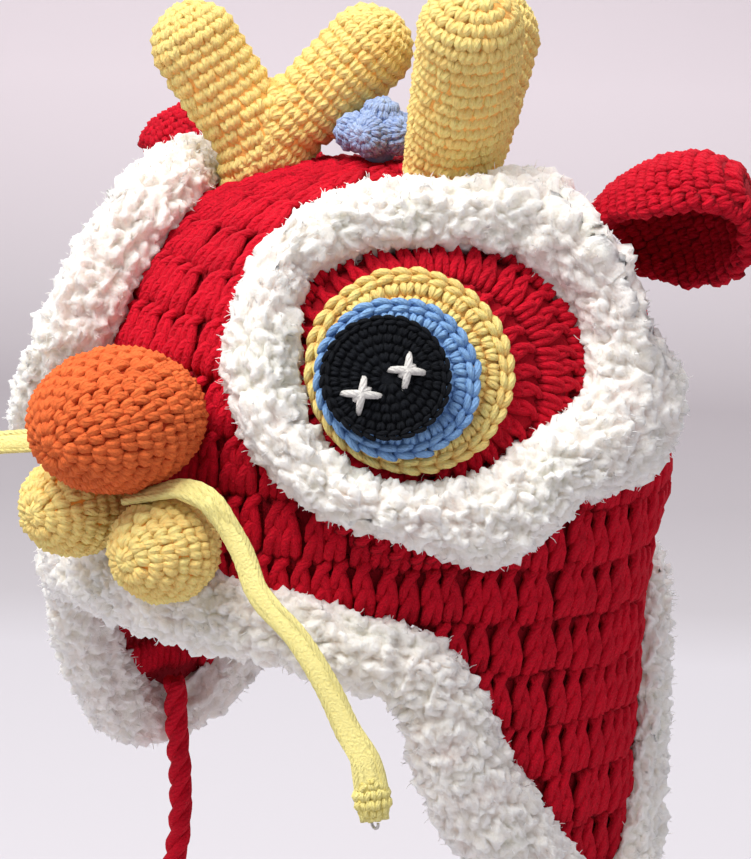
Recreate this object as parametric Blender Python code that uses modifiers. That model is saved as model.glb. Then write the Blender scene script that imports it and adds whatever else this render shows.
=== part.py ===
"""Crochet dragon hat: a hollow knitted crown with ear flaps, fur trims, stacked eyes,
a stuffed nose and lip balls, whiskers, antlers, ears and two ties.

Metres, +Z up, the front of the hat faces -Y and the wearer's left is +X. The origin is
the middle of the head opening at the level of the front rim.
"""
import math

import bmesh
import bpy
from mathutils import Matrix, Vector

LEFT = 1
RIGHT = -1
SIDES = {"left": LEFT, "right": RIGHT}

# Driving sizes of the crown
CROWN_HALF_WIDTHS = {LEFT: 0.0885, RIGHT: 0.0955}
CROWN_HALF_DEPTH = 0.095
CROWN_HEIGHT = 0.1142
CROWN_POWER = 2.6
FLAP_SPREADS = {LEFT: 0.0, RIGHT: 0.003}
FAR_FLAP_LENGTH = 0.84
WALL = 0.005
GAP = 0.0004
NAPE_TUCK = 0.008
NAPE_TUCK_TOP = 0.018
NAPE_TUCK_HEIGHT = 0.026

# Mesh density
COLUMNS_PER_SIDE = 32
DOME_ROWS = 8
SKIRT_ROWS = 4
SKIRT_TOP = 0.012

# Fur
TRIM_LOCK = 0.0022
TRIM_FLAP_STRETCHES = {LEFT: 0.28, RIGHT: 0.12}
EYE_FUR_SECTIONS = 26
EYE_FUR_LOCK = 0.0022

# Eyes: turn of the eye's centre from the front, and its height
EYE_HEIGHTS = {"left": 0.066, "right": 0.060}
EYE_TURNS = {"left": 54.0, "right": -64.0}
EYE_FUR_SWELL = {"left": 1.0, "right": 1.3}
PATCH_THICKNESS = 0.0038
DISC_THICKNESS = 0.0040
DISC_SEGMENTS = 18
PATCH_SEGMENTS = 24
PAD_GAP = 0.0010
FUR_GAP = 0.0016

# Nose, balls, whiskers and ties
NOSE_HALF = Vector((0.0250, 0.0252, 0.0194))
NOSE_HEIGHT = 0.0535
NOSE_DROOP = 9.0
NOSE_INSET = 0.0002
BALL_HALF = Vector((0.0158, 0.0160, 0.0144))
WHISKER_WIDTH = 0.0074
WHISKER_THICKNESS = 0.0026
WHISKER_SECTIONS = 15
WHISKER_START_FACES = ((0.0, -0.2, 1.0), (0.0, -0.35, 1.0), (0.0, -0.5, 0.9), (0.1, -0.7, 0.7))
WIRE_DIAMETER = 0.0009
TIE_DIAMETER = 0.0085
KNOT_HALF = Vector((0.0078, 0.0078, 0.0085))

# The knitted edge of one side of the hat. A row is a column line of the crown.
# Columns: turn from the front on the dome, turn at the edge, height of the edge in mm
EDGE = (
    (0, 0, 6),
    (8, 8, 6),
    (16, 16, 6),
    (24, 24, 5.5),
    (32, 31, 3.5),
    (40, 38, 0),
    (47, 46, -3),
    (53, 53, -8),
    (58, 58, -17),
    (62, 61.5, -28),
    (66, 64.5, -40),
    (70, 69, -52),
    (74, 75, -66),
    (79, 81.5, -81),
    (84, 87.5, -92),
    (89, 94, -96),
    (94, 100.5, -90),
    (98, 105.5, -77),
    (102, 109, -63),
    (106, 111.5, -48),
    (110, 113, -33),
    (115, 117, -21),
    (121, 123, -13),
    (128, 130, -9),
    (136, 137, -8),
    (145, 145, -8),
    (154, 154, -8),
    (163, 163, -8),
    (172, 172, -8),
    (180, 180, -8),
)

# The fur ring round an eye, seen square to the eye. Angles run from the outer side
# of the face upwards. Columns: angle, inner radius, outer radius and height in mm
EYE_FUR = (
    (0, 43.0, 71.5, 17),
    (20, 45.0, 71, 17),
    (40, 44.0, 74.5, 17),
    (60, 41.0, 60, 16),
    (80, 37.5, 52.5, 15),
    (100, 37.8, 53, 15),
    (120, 41.0, 54.8, 15.5),
    (140, 45.0, 54.7, 16),
    (160, 40.5, 55.5, 16),
    (180, 39.8, 54, 16),
    (200, 38.4, 51.2, 16),
    (220, 35.9, 49, 15.5),
    (240, 32.5, 45.5, 15),
    (260, 28.8, 45, 15),
    (280, 28.0, 51.5, 15),
    (300, 27.5, 50.5, 15),
    (320, 27.2, 50, 15.5),
    (340, 34.0, 70, 16.5),
)

# Stacked discs of an eye. Columns: name, radius, centre across and up in mm
DISCS = (
    ("yellow", 28.4, -9.3, 2.2),
    ("blue", 20.5, -13.6, -0.1),
    ("black", 15.0, -17.0, -0.3),
)

# Lip balls: the centre of each
BALLS = {
    "left": Vector((0.0172, -0.1125, 0.0187)),
    "right": Vector((-0.0196, -0.1125, 0.0239)),
}

# Whiskers: routes picked along each strip's middle, from under the nose
WHISKER_ROUTES = {
    "left": (
        (0.0065, -0.1155, 0.0322),
        (0.0150, -0.1150, 0.0352),
        (0.0240, -0.1130, 0.0380),
        (0.0325, -0.1103, 0.0355),
        (0.0405, -0.1062, 0.0230),
        (0.0475, -0.1055, 0.0107),
        (0.0580, -0.1020, 0.0010),
        (0.0665, -0.0985, -0.0117),
        (0.0720, -0.0955, -0.0240),
        (0.0780, -0.0935, -0.0335),
        (0.0810, -0.0930, -0.0490),
    ),
    "right": (
        (-0.0060, -0.1020, 0.0345),
        (-0.0180, -0.1020, 0.0395),
        (-0.0310, -0.1033, 0.0400),
        (-0.0450, -0.1065, 0.0372),
        (-0.0600, -0.1110, 0.0340),
        (-0.0740, -0.1150, 0.0290),
        (-0.0850, -0.1165, 0.0230),
        (-0.0920, -0.1165, 0.0110),
        (-0.0960, -0.1150, -0.0020),
        (-0.0985, -0.1130, -0.0150),
        (-0.1000, -0.1110, -0.0270),
    ),
}

# Ties: routes picked by hand from the inner side of a flap's tip down to the knot
TIE_ROUTES = {
    "left": (
        (0.0768, 0.0030, -0.0860),
        (0.0756, 0.0035, -0.1020),
        (0.0732, 0.0025, -0.1200),
        (0.0750, 0.0005, -0.1380),
        (0.0755, -0.0010, -0.1560),
        (0.0755, 0.0000, -0.1740),
        (0.0750, 0.0020, -0.1920),
        (0.0745, 0.0035, -0.2100),
        (0.0745, 0.0040, -0.2280),
        (0.0750, 0.0035, -0.2460),
        (0.0755, 0.0030, -0.2640),
        (0.0755, 0.0030, -0.2800),
    ),
    "right": (
        (-0.0858, -0.0030, -0.0740),
        (-0.0858, -0.0020, -0.0910),
        (-0.0856, 0.0000, -0.1110),
        (-0.0855, 0.0000, -0.1290),
        (-0.0870, -0.0020, -0.1470),
        (-0.0890, -0.0045, -0.1650),
        (-0.0895, -0.0055, -0.1830),
        (-0.0890, -0.0045, -0.2010),
        (-0.0880, -0.0025, -0.2190),
        (-0.0875, -0.0010, -0.2370),
        (-0.0875, 0.0000, -0.2550),
        (-0.0875, 0.0000, -0.2710),
    ),
}

# Antlers: foot centre, the middle of the front and of the back lobe's round top, and
# the radius of the lobes
ANTLERS = {
    "left": {
        "foot": (0.0300, -0.0060),
        "front": (0.0483, -0.0235, 0.1600),
        "back": (0.0203, 0.0205, 0.1545),
        "radius": 0.0152,
    },
    "right": {
        "foot": (-0.0401, -0.0124),
        "front": (-0.0571, -0.0270, 0.1477),
        "back": (-0.0181, 0.0090, 0.1480),
        "radius": 0.0138,
    },
}
ANTLER_FOOT_RADIUS = 0.0140
ANTLER_CLEARANCE = 0.0006
ANTLER_FUR_ROOM = 0.0185
ANTLER_HALF = 8
SADDLE_POINTS = 5

# Trunk rings of an antler: height over the foot, half length along the fork, half width
ANTLER_TRUNK = (
    (0.0045, 0.0152, 0.0148),
    (0.0100, 0.0180, 0.0146),
)
ANTLER_ROOT_RISE = 0.006
ANTLER_SADDLE = 0.019
ANTLER_FIRST_RING = 0.021

# Cloud: bobbles round the apex, each with its place x, y, z and its radius in mm
CLOUD_CENTRE = Vector((-0.0035, -0.0010, 0.1245))
CLOUD = (
    (-6.0, -4.6, 0.0, 6.0),
    (1.8, -6.6, -0.4, 6.2),
    (6.4, 0.0, 0.0, 6.0),
    (2.6, 6.4, 0.0, 6.0),
    (-5.5, 4.6, 0.0, 5.8),
    (0.4, 0.0, 4.6, 6.2),
    (0.0, 0.0, -5.2, 6.0),
)

# Ears: the neck's place on the crown, its distance from the crown, and the tip
EARS = {
    "left": {"turn": 117.0, "height": 0.091, "off": 0.0024, "tip": (0.1190, 0.0110, 0.1150)},
    "right": {"turn": -127.0, "height": 0.086, "off": 0.0037, "tip": (-0.1270, 0.0180, 0.1060)},
}
EAR_MOUTH = Vector((0.25, -0.65, -0.72))
EAR_WALL = 0.0042
# Columns: share of the way along the ear, half width, depth and drop in mm
EAR_SECTIONS = (
    (0.00, 10.5, 10.0, 0.0),
    (0.14, 15.5, 17.0, 1.0),
    (0.32, 20.0, 23.5, 2.0),
    (0.52, 21.5, 26.5, 3.0),
    (0.72, 20.0, 25.5, 3.0),
    (0.88, 15.0, 19.5, 2.0),
    (0.97, 8.0, 11.0, 1.0),
)
EAR_ARC_STEPS = 10
EAR_FUR_ROOM = 0.0320

# Name, sRGB colour, roughness
FINISHES = {
    "red_yarn": ((0.78, 0.04, 0.11), 0.85),
    "white_fur": ((0.94, 0.94, 0.91), 0.95),
    "yellow_yarn": ((0.98, 0.86, 0.45), 0.85),
    "blue_yarn": ((0.45, 0.65, 0.86), 0.85),
    "black_yarn": ((0.05, 0.07, 0.10), 0.85),
    "orange_yarn": ((0.90, 0.43, 0.15), 0.85),
    "pale_yarn": ((0.96, 0.92, 0.55), 0.85),
    "wire": ((0.75, 0.74, 0.72), 0.35),
}


# Scene and materials

def clear_scene():
    for thing in list(bpy.data.objects):
        bpy.data.objects.remove(thing, do_unlink=True)


def linear(channel):
    if channel <= 0.04045:
        return channel / 12.92
    return ((channel + 0.055) / 1.055) ** 2.4


def make_finish(name):
    colour, roughness = FINISHES[name]
    material = bpy.data.materials.new(name)
    material.use_nodes = True
    shader = material.node_tree.nodes["Principled BSDF"]
    shader.inputs["Base Color"].default_value = (*[linear(c) for c in colour], 1.0)
    shader.inputs["Roughness"].default_value = roughness
    shader.inputs["Metallic"].default_value = 1.0 if name == "wire" else 0.0
    return material


def mesh_object(name, points, faces, finish):
    mesh = bpy.data.meshes.new(name)
    mesh.from_pydata([tuple(p) for p in points], [], faces)
    mesh.validate()
    mesh.shade_smooth()
    thing = bpy.data.objects.new(name, mesh)
    hat.objects.link(thing)
    thing.data.materials.append(finishes[finish])
    return thing


# The crown's outer surface

def nape_weight(turn):
    """0 on the front and sides, 1 round the back of the neck."""
    share = (abs(math.degrees(turn)) - 96.0) / 34.0
    share = min(max(share, 0.0), 1.0)
    return share * share * (3.0 - 2.0 * share)


def tuck(turn, height):
    """How far the lower edge at the nape is drawn in."""
    share = (NAPE_TUCK_TOP - height) / NAPE_TUCK_HEIGHT
    share = min(max(share, 0.0), 1.0)
    return NAPE_TUCK * nape_weight(turn) * share * share * (3.0 - 2.0 * share)


def half_width_at(x, height):
    """The far side is a little wider, and its flap spreads outward on the way down."""
    side = LEFT if x > 0.0 else RIGHT
    share = min(max(-height / 0.080, 0.0), 1.0)
    return CROWN_HALF_WIDTHS[side] + FLAP_SPREADS[side] * share * share


def level(point):
    """Below 0 inside the crown's outer surface, above 0 outside; grows by 1 a radius."""
    half_width = half_width_at(point.x, point.z)
    turn = math.atan2(point.x / half_width, -point.y / CROWN_HALF_DEPTH)
    drawn = tuck(turn, point.z)
    across = math.hypot(point.x / (half_width - drawn),
                        point.y / (CROWN_HALF_DEPTH - drawn))
    upward = max(point.z, 0.0) / CROWN_HEIGHT
    return (across ** CROWN_POWER + upward ** CROWN_POWER) ** (1.0 / CROWN_POWER) - 1.0


def crown_normal(point):
    step = 0.0004
    slope = Vector([
        level(point + Vector(axis) * step) - level(point - Vector(axis) * step)
        for axis in ((1, 0, 0), (0, 1, 0), (0, 0, 1))
    ])
    return slope.normalized()


def crown_point(turn, height):
    """The outer surface at a turn from the front, in radians, and a height."""
    upward = min(max(height, 0.0) / CROWN_HEIGHT, 1.0)
    across = (1.0 - upward ** CROWN_POWER) ** (1.0 / CROWN_POWER)
    drawn = tuck(turn, height)
    half_width = half_width_at(math.sin(turn), height)
    return Vector((
        (half_width - drawn) * across * math.sin(turn),
        -(CROWN_HALF_DEPTH - drawn) * across * math.cos(turn),
        height,
    ))


def seat(start, direction):
    """Where a line from outside, along a direction, meets the crown."""
    near, far = 0.0, 0.16
    steps = 80
    for step in range(1, steps + 1):
        reach = far * step / steps
        if level(start + direction * reach) < 0.0:
            near, far = far * (step - 1) / steps, reach
            break
    for _ in range(30):
        middle = (near + far) / 2.0
        if level(start + direction * middle) < 0.0:
            far = middle
        else:
            near = middle
    return start + direction * far


def table_value(table, column, place):
    """A smooth curve through one column of a table, at a place counted in rows."""
    last = len(table) - 1
    row = min(int(place), last - 1)
    share = place - row
    before = table[max(row - 1, 0)][column]
    first = table[row][column]
    second = table[row + 1][column]
    after = table[min(row + 2, last)][column]
    return spline(before, first, second, after, share)


def spline(before, first, second, after, share):
    return first + 0.5 * share * (
        second - before
        + share * (2 * before - 5 * first + 4 * second - after
                   + share * (3 * (first - second) + after - before)))


def ring_value(table, column, angle):
    """The same on a closed table whose rows are evenly spaced round a turn."""
    count = len(table)
    place = (angle % 360.0) / 360.0 * count
    row = int(place) % count
    share = place - int(place)
    values = [table[(row + k) % count][column] for k in (-1, 0, 1, 2)]
    return spline(*values, share)


def edge_columns():
    """Turn on the dome, turn and height of the knitted edge, round the whole hat."""
    last = len(EDGE) - 1
    half = []
    for index in range(COLUMNS_PER_SIDE + 1):
        place = last * index / COLUMNS_PER_SIDE
        half.append([table_value(EDGE, column, place) for column in range(3)])
    columns = [(math.radians(a), math.radians(b), c / 1000.0) for a, b, c in half]
    mirrored = []
    for dome_turn, edge_turn, height in columns[-2:0:-1]:
        shortened = height * FAR_FLAP_LENGTH if height < 0.0 else height
        mirrored.append((-dome_turn, -edge_turn, shortened))
    return columns + mirrored


def column_point(column, row):
    """A point of a column line: rows up to DOME_ROWS on the dome, then the skirt."""
    dome_turn, edge_turn, edge_height = column
    if row <= DOME_ROWS:
        lowest = math.asin((SKIRT_TOP / CROWN_HEIGHT) ** (CROWN_POWER / 2.0))
        angle = math.pi / 2 + (lowest - math.pi / 2) * row / DOME_ROWS
        return crown_point(dome_turn, CROWN_HEIGHT * math.sin(angle) ** (2.0 / CROWN_POWER))
    share = (row - DOME_ROWS) / SKIRT_ROWS
    turn = dome_turn + (edge_turn - dome_turn) * share
    return crown_point(turn, SKIRT_TOP + (edge_height - SKIRT_TOP) * share)


def build_crown():
    columns = edge_columns()
    count = len(columns)
    rows = DOME_ROWS + SKIRT_ROWS
    points = [Vector((0.0, 0.0, CROWN_HEIGHT))]
    for row in range(1, rows + 1):
        points += [column_point(column, row) for column in columns]
    faces = []
    for c in range(count):
        d = (c + 1) % count
        faces.append((0, 1 + c, 1 + d))
        for row in range(rows - 1):
            top = 1 + row * count
            low = top + count
            faces.append((top + c, low + c, low + d, top + d))
    crown = mesh_object("crown", points, faces, "red_yarn")
    wall = crown.modifiers.new("wall", "SOLIDIFY")
    wall.thickness = WALL
    wall.offset = -1.0
    wall.use_even_offset = False
    return crown


# Fur: closed tubes whose outer faces are drawn out into locks

def fur_tube(name, sections, lock, tufted, finish="white_fur"):
    """A closed ring of sections; the faces listed in tufted get a raised middle."""
    count = len(sections)
    size = len(sections[0])
    points = [p for section in sections for p in section]
    faces = []
    for s in range(count):
        t = (s + 1) % count
        for k in range(size):
            j = (k + 1) % size
            quad = [s * size + k, t * size + k, t * size + j, s * size + j]
            if k not in tufted:
                faces.append(tuple(quad))
                continue
            corners = [points[i] for i in quad]
            middle = sum(corners, Vector()) / 4.0
            out = (corners[2] - corners[0]).cross(corners[3] - corners[1]).normalized()
            reach = lock * (1.0 if (s + k) % 2 else 0.55)
            points.append(middle + out * reach)
            tip = len(points) - 1
            for a in range(4):
                faces.append((quad[a], quad[(a + 1) % 4], tip))
    return mesh_object(name, points, faces, finish)


# Trim section. Columns: mm below the knitted edge, mm out from the knitted face
TRIM = (
    (0.4, -4.6),
    (0.4, 0.5),
    (-1.6, 0.8),
    (-2.5, 4.0),
    (1.0, 8.5),
    (8.0, 11.0),
    (17.0, 9.0),
    (21.5, 1.5),
    (17.0, -5.5),
    (8.0, -8.5),
)
TRIM_TUFTED = (3, 4, 5, 6, 7)


def flap_weight(height):
    """0 round the front and the nape, 1 at the lower part of a flap."""
    share = min(max(-height / 0.060, 0.0), 1.0)
    return share * share * (3.0 - 2.0 * share)


def build_rim_fur():
    columns = edge_columns()
    count = len(columns)
    edge = [column_point(column, DOME_ROWS + SKIRT_ROWS) for column in columns]
    sections = []
    for index in range(count):
        along = edge[(index + 1) % count] - edge[index - 1]
        out = crown_normal(edge[index])
        below = along.cross(out).normalized()
        side = LEFT if edge[index].x > 0.0 else RIGHT
        stretch = 1.0 + TRIM_FLAP_STRETCHES[side] * flap_weight(edge[index].z)
        section = []
        for low, proud in TRIM:
            if low < 0:
                place = seat(edge[index] + below * (low / 1000.0) + out * 0.01, -out)
                section.append(place + crown_normal(place) * (proud / 1000.0))
            else:
                section.append(edge[index] + below * (low * stretch / 1000.0)
                               + out * (proud / 1000.0))
        sections.append(section)
    return fur_tube("rim_fur", sections[::-1], TRIM_LOCK, TRIM_TUFTED)


# Eyes

class EyeFrame:
    """The flat frame square to the crown at an eye, and points seated on the crown."""

    def __init__(self, side):
        self.name = side
        self.side = SIDES[side]
        self.centre = crown_point(math.radians(EYE_TURNS[side]), EYE_HEIGHTS[side])
        self.out = crown_normal(self.centre)
        self.across = Vector((0, 0, 1)).cross(self.out).normalized() * self.side
        self.up = self.out.cross(self.across) * self.side

    def place(self, across, up, height):
        start = self.centre + self.across * across + self.up * up + self.out * 0.06
        foot = seat(start, -self.out)
        return foot + crown_normal(foot) * height


def polar(angle, radius):
    return radius * math.cos(math.radians(angle)), radius * math.sin(math.radians(angle))


# Fur ring section: share of the way from inner to outer edge, and share of the height
EYE_SECTION = (
    (0.04, 0.0),
    (0.50, 0.0),
    (0.95, 0.0),
    (1.03, 0.42),
    (0.80, 0.90),
    (0.50, 1.00),
    (0.20, 0.90),
    (-0.03, 0.42),
)
EYE_TUFTED = (2, 3, 4, 5, 6)


def stop_short(frame, angle, inner, outer):
    """Draw the fur's outer edge in until it is clear of the antler's foot and the ear."""
    foot_x, foot_y = ANTLERS[frame.name]["foot"]
    foot = seated_on_crown(foot_x, foot_y, 0.0)
    ear = ear_neck(frame.name).lerp(Vector(EARS[frame.name]["tip"]), 0.4)
    while outer > inner + 0.008:
        edge = frame.place(*polar(angle, outer), 0.010)
        from_foot = math.hypot(edge.x - foot.x, edge.y - foot.y)
        if from_foot > ANTLER_FUR_ROOM and (edge - ear).length > EAR_FUR_ROOM:
            break
        outer -= 0.001
    return outer


def build_eye_fur(side, frame):
    sections = []
    for index in range(EYE_FUR_SECTIONS):
        angle = 360.0 * index / EYE_FUR_SECTIONS
        inner = ring_value(EYE_FUR, 1, angle) / 1000.0
        outer = ring_value(EYE_FUR, 2, angle) / 1000.0
        outer = stop_short(frame, angle, inner, outer)
        height = ring_value(EYE_FUR, 3, angle) / 1000.0 * EYE_FUR_SWELL[side]
        section = []
        for share, lift in EYE_SECTION:
            across, up = polar(angle, inner + (outer - inner) * share)
            section.append(frame.place(across, up, FUR_GAP + height * lift))
        sections.append(section)
    if frame.side == RIGHT:
        sections.reverse()
    return fur_tube("eye_fur_" + side, sections, EYE_FUR_LOCK, EYE_TUFTED)


def draped_pad(name, frame, rim, centre, low, high, finish, segments=DISC_SEGMENTS):
    """A pad of even thickness that follows the crown, inside a rim given by angle."""
    middle = (low + high) / 2.0
    profile = ((0.55, high), (0.92, high), (1.0, middle), (0.94, low), (0.55, low))
    points = [frame.place(*centre, high)]
    for share, height in profile:
        for index in range(segments):
            angle = 360.0 * index / segments
            across, up = polar(angle, rim(angle) * share)
            points.append(frame.place(centre[0] + across, centre[1] + up, height))
    points.append(frame.place(*centre, low))
    faces = []
    for c in range(segments):
        d = (c + 1) % segments
        faces.append((0, 1 + c, 1 + d))
        for row in range(len(profile) - 1):
            top = 1 + row * segments
            faces.append((top + c, top + segments + c, top + segments + d, top + d))
        last = 1 + (len(profile) - 1) * segments
        faces.append((last + d, last + c, len(points) - 1))
    if frame.side == RIGHT:
        faces = [face[::-1] for face in faces]
    return mesh_object(name, points, faces, finish)


def build_eye(side):
    frame = EyeFrame(side)
    build_eye_fur(side, frame)

    def patch_rim(angle):
        return ring_value(EYE_FUR, 1, angle) / 1000.0 - 0.0012

    draped_pad("eye_patch_" + side, frame, patch_rim, (0.0, 0.0), PAD_GAP,
               PATCH_THICKNESS, "red_yarn", segments=PATCH_SEGMENTS)
    low = PATCH_THICKNESS + GAP
    for name, radius, across, up in DISCS:
        def disc_rim(angle, size=radius):
            return size / 1000.0
        draped_pad("eye_%s_%s" % (name, side), frame, disc_rim,
                   (across / 1000.0, up / 1000.0), low, low + DISC_THICKNESS,
                   name + "_yarn")
        low += DISC_THICKNESS + GAP


# Stuffed pieces

def ellipsoid(name, centre, half, segments, rings, finish, droop=0.0):
    mesh = bmesh.new()
    bmesh.ops.create_uvsphere(mesh, u_segments=segments, v_segments=rings, radius=1.0)
    bmesh.ops.scale(mesh, vec=half, verts=mesh.verts)
    turned = Matrix.Rotation(math.radians(droop), 3, "X")
    bmesh.ops.rotate(mesh, cent=(0, 0, 0), matrix=turned, verts=mesh.verts)
    bmesh.ops.translate(mesh, vec=centre, verts=mesh.verts)
    data = bpy.data.meshes.new(name)
    mesh.to_mesh(data)
    mesh.free()
    data.shade_smooth()
    thing = bpy.data.objects.new(name, data)
    hat.objects.link(thing)
    data.materials.append(finishes[finish])
    return thing


def build_nose():
    face = crown_point(0.0, NOSE_HEIGHT)
    centre = face + Vector((0.0, NOSE_INSET - NOSE_HALF.y, 0.0))
    ellipsoid("nose", centre, NOSE_HALF, 18, 11, "orange_yarn", NOSE_DROOP)


def build_balls():
    for side, centre in BALLS.items():
        ellipsoid("lip_ball_" + side, centre, BALL_HALF, 14, 9, "yellow_yarn")


def loft(name, rings, finish):
    """A closed solid through rings of equal count, with flat ends."""
    size = len(rings[0])
    points = [p for ring in rings for p in ring]
    faces = []
    for r in range(len(rings) - 1):
        for k in range(size):
            j = (k + 1) % size
            low = r * size
            faces.append((low + k, low + j, low + size + j, low + size + k))
    faces.append(tuple(range(size))[::-1])
    faces.append(tuple(range((len(rings) - 1) * size, len(rings) * size)))
    return mesh_object(name, points, faces, finish)


def seated_on_crown(x, y, clearance):
    return seat(Vector((x, y, 0.16)), Vector((0, 0, -1))) + Vector((0, 0, clearance))


def antler_arm_rings(root, lobe, radius, away, across):
    """Rings of one arm above the fork, each with its outer half first, then the inner."""
    direction = (lobe - root).normalized()
    outward = across.cross(direction)
    if outward.dot(away) < 0.0:
        outward = -outward
    outer = [math.radians(90.0 - 180.0 * k / ANTLER_HALF) for k in range(ANTLER_HALF + 1)]
    inner = [math.radians(-90.0 - 180.0 * k / (SADDLE_POINTS + 1))
             for k in range(1, SADDLE_POINTS + 1)]
    first = root + direction * ANTLER_FIRST_RING
    stations = [(first, radius), (first.lerp(lobe, 0.55), radius), (lobe, radius)]
    for angle in (34.0, 62.0, 83.0):
        lift = radius * math.sin(math.radians(angle))
        stations.append((lobe + direction * lift, radius * math.cos(math.radians(angle))))
    return [[middle + (outward * math.cos(a) + across * math.sin(a)) * size
             for a in outer + inner] for middle, size in stations]


def build_antler(side):
    """A round foot seated on the crown that splits into two lobes over a saddle."""
    sizes = ANTLERS[side]
    foot_x, foot_y = sizes["foot"]
    front, back = Vector(sizes["front"]), Vector(sizes["back"])
    away = Vector((front.x - back.x, front.y - back.y, 0.0)).normalized()
    across = Vector((0, 0, 1)).cross(away)
    foot = seated_on_crown(foot_x, foot_y, 0.0)
    root = foot + Vector((0, 0, ANTLER_ROOT_RISE))

    def trunk_ring(height, length, width):
        ring = []
        for k in range(2 * ANTLER_HALF):
            angle = math.pi / 2 - math.pi * k / ANTLER_HALF
            ring.append(Vector((foot.x, foot.y, foot.z + height))
                        + away * (length * math.cos(angle))
                        + across * (width * math.sin(angle)))
        return ring

    size = 2 * ANTLER_HALF
    points = []
    for share in (0.5, 1.0):
        spread = ANTLER_FOOT_RADIUS * share
        for p in trunk_ring(0.0, spread, spread):
            points.append(seated_on_crown(p.x, p.y, ANTLER_CLEARANCE))
    for height, length, width in ANTLER_TRUNK:
        points += trunk_ring(height, length, width)
    faces = []
    for r in range(len(points) // size - 1):
        for k in range(size):
            j = (k + 1) % size
            faces.append((r * size + k, r * size + j, (r + 1) * size + j, (r + 1) * size + k))
    points.append(seated_on_crown(foot_x, foot_y, ANTLER_CLEARANCE))
    for k in range(size):
        faces.append((k, len(points) - 1, (k + 1) % size))
    fork_height, _, fork_width = ANTLER_TRUNK[-1]
    fork = Vector((foot.x, foot.y, foot.z + fork_height))
    saddle = []
    for k in range(1, SADDLE_POINTS + 1):
        swing = math.pi * k / (SADDLE_POINTS + 1)
        points.append(fork + across * (-fork_width * math.cos(swing))
                      + Vector((0, 0, ANTLER_SADDLE * math.sin(swing))))
        saddle.append(len(points) - 1)
    first = (1 + len(ANTLER_TRUNK)) * size
    loops = (
        (front, away, [first + k for k in range(ANTLER_HALF + 1)] + saddle),
        (back, -away, [first + (ANTLER_HALF + k) % size for k in range(ANTLER_HALF + 1)]
         + saddle[::-1]),
    )
    for lobe, outward, loop in loops:
        turned = across if outward is away else -across
        for ring in antler_arm_rings(root, lobe, sizes["radius"], outward, turned):
            new_loop = list(range(len(points), len(points) + len(ring)))
            points += ring
            for k in range(len(loop)):
                j = (k + 1) % len(loop)
                faces.append((loop[k], loop[j], new_loop[j], new_loop[k]))
            loop = new_loop
        faces.append(tuple(loop))
    mesh_object("antler_" + side, points, [face[::-1] for face in faces], "yellow_yarn")


def build_cloud():
    """A cluster of bobbles: in every direction, the farthest bobble's surface."""
    mesh = bmesh.new()
    bmesh.ops.create_icosphere(mesh, subdivisions=3, radius=1.0)
    for vertex in mesh.verts:
        ray = vertex.co.normalized()
        reach = 0.0
        for x, y, z, radius in CLOUD:
            middle = Vector((x, y, z)) / 1000.0
            size = radius / 1000.0
            along = ray.dot(middle)
            inside = along * along - middle.length_squared + size * size
            if inside > 0.0:
                reach = max(reach, along + math.sqrt(inside))
        point = CLOUD_CENTRE + ray * reach
        floor = seat(Vector((point.x, point.y, 0.16)), Vector((0, 0, -1))).z + GAP
        point.z = max(point.z, floor)
        vertex.co = point
    data = bpy.data.meshes.new("top_cloud")
    mesh.to_mesh(data)
    mesh.free()
    data.shade_smooth()
    thing = bpy.data.objects.new("top_cloud", data)
    hat.objects.link(thing)
    data.materials.append(finishes["blue_yarn"])


def ear_neck(side):
    foot = crown_point(math.radians(EARS[side]["turn"]), EARS[side]["height"])
    return foot + crown_normal(foot) * EARS[side]["off"]


def build_ear(side):
    """A cupped ear: half rings from lip to lip, from the neck to the round tip."""
    neck = ear_neck(side)
    tip = Vector(EARS[side]["tip"])
    along = (tip - neck).normalized()
    mouth = Vector((EAR_MOUTH.x * SIDES[side], EAR_MOUTH.y, EAR_MOUTH.z))
    mouth = (mouth - along * mouth.dot(along)).normalized()
    wide = along.cross(mouth).normalized()
    points = []
    for share, half_width, depth, drop in EAR_SECTIONS:
        middle = neck + (tip - neck) * share + mouth * (drop / 1000.0)
        for step in range(EAR_ARC_STEPS + 1):
            angle = math.pi * (step / EAR_ARC_STEPS - 0.5) * 1.08
            points.append(middle + wide * (half_width / 1000.0 * math.sin(angle))
                          - mouth * (depth / 1000.0 * math.cos(angle)))
    points.append(tip)
    faces = []
    row = EAR_ARC_STEPS + 1
    for s in range(len(EAR_SECTIONS) - 1):
        for k in range(EAR_ARC_STEPS):
            a = s * row + k
            faces.append((a, a + 1, a + row + 1, a + row))
    last = (len(EAR_SECTIONS) - 1) * row
    for k in range(EAR_ARC_STEPS):
        faces.append((last + k, last + k + 1, len(points) - 1))
    ear = mesh_object("ear_" + side, points, faces, "red_yarn")
    wall = ear.modifiers.new("wall", "SOLIDIFY")
    wall.thickness = EAR_WALL
    wall.offset = 1.0
    wall.use_even_offset = False
    return ear


# Strips and cords

def smooth_route(route, count):
    """Evenly spread points on a smooth curve through a route's own points."""
    dense = []
    last = len(route) - 1
    for index in range(last * 12 + 1):
        place = index / 12.0
        dense.append(Vector([table_value(route, axis, place) for axis in range(3)]))
    lengths = [0.0]
    for a, b in zip(dense, dense[1:]):
        lengths.append(lengths[-1] + (b - a).length)
    points = []
    cursor = 0
    for index in range(count):
        goal = lengths[-1] * index / (count - 1)
        while cursor < len(lengths) - 2 and lengths[cursor + 1] < goal:
            cursor += 1
        share = (goal - lengths[cursor]) / (lengths[cursor + 1] - lengths[cursor])
        points.append(dense[cursor].lerp(dense[cursor + 1], share))
    return points


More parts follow.
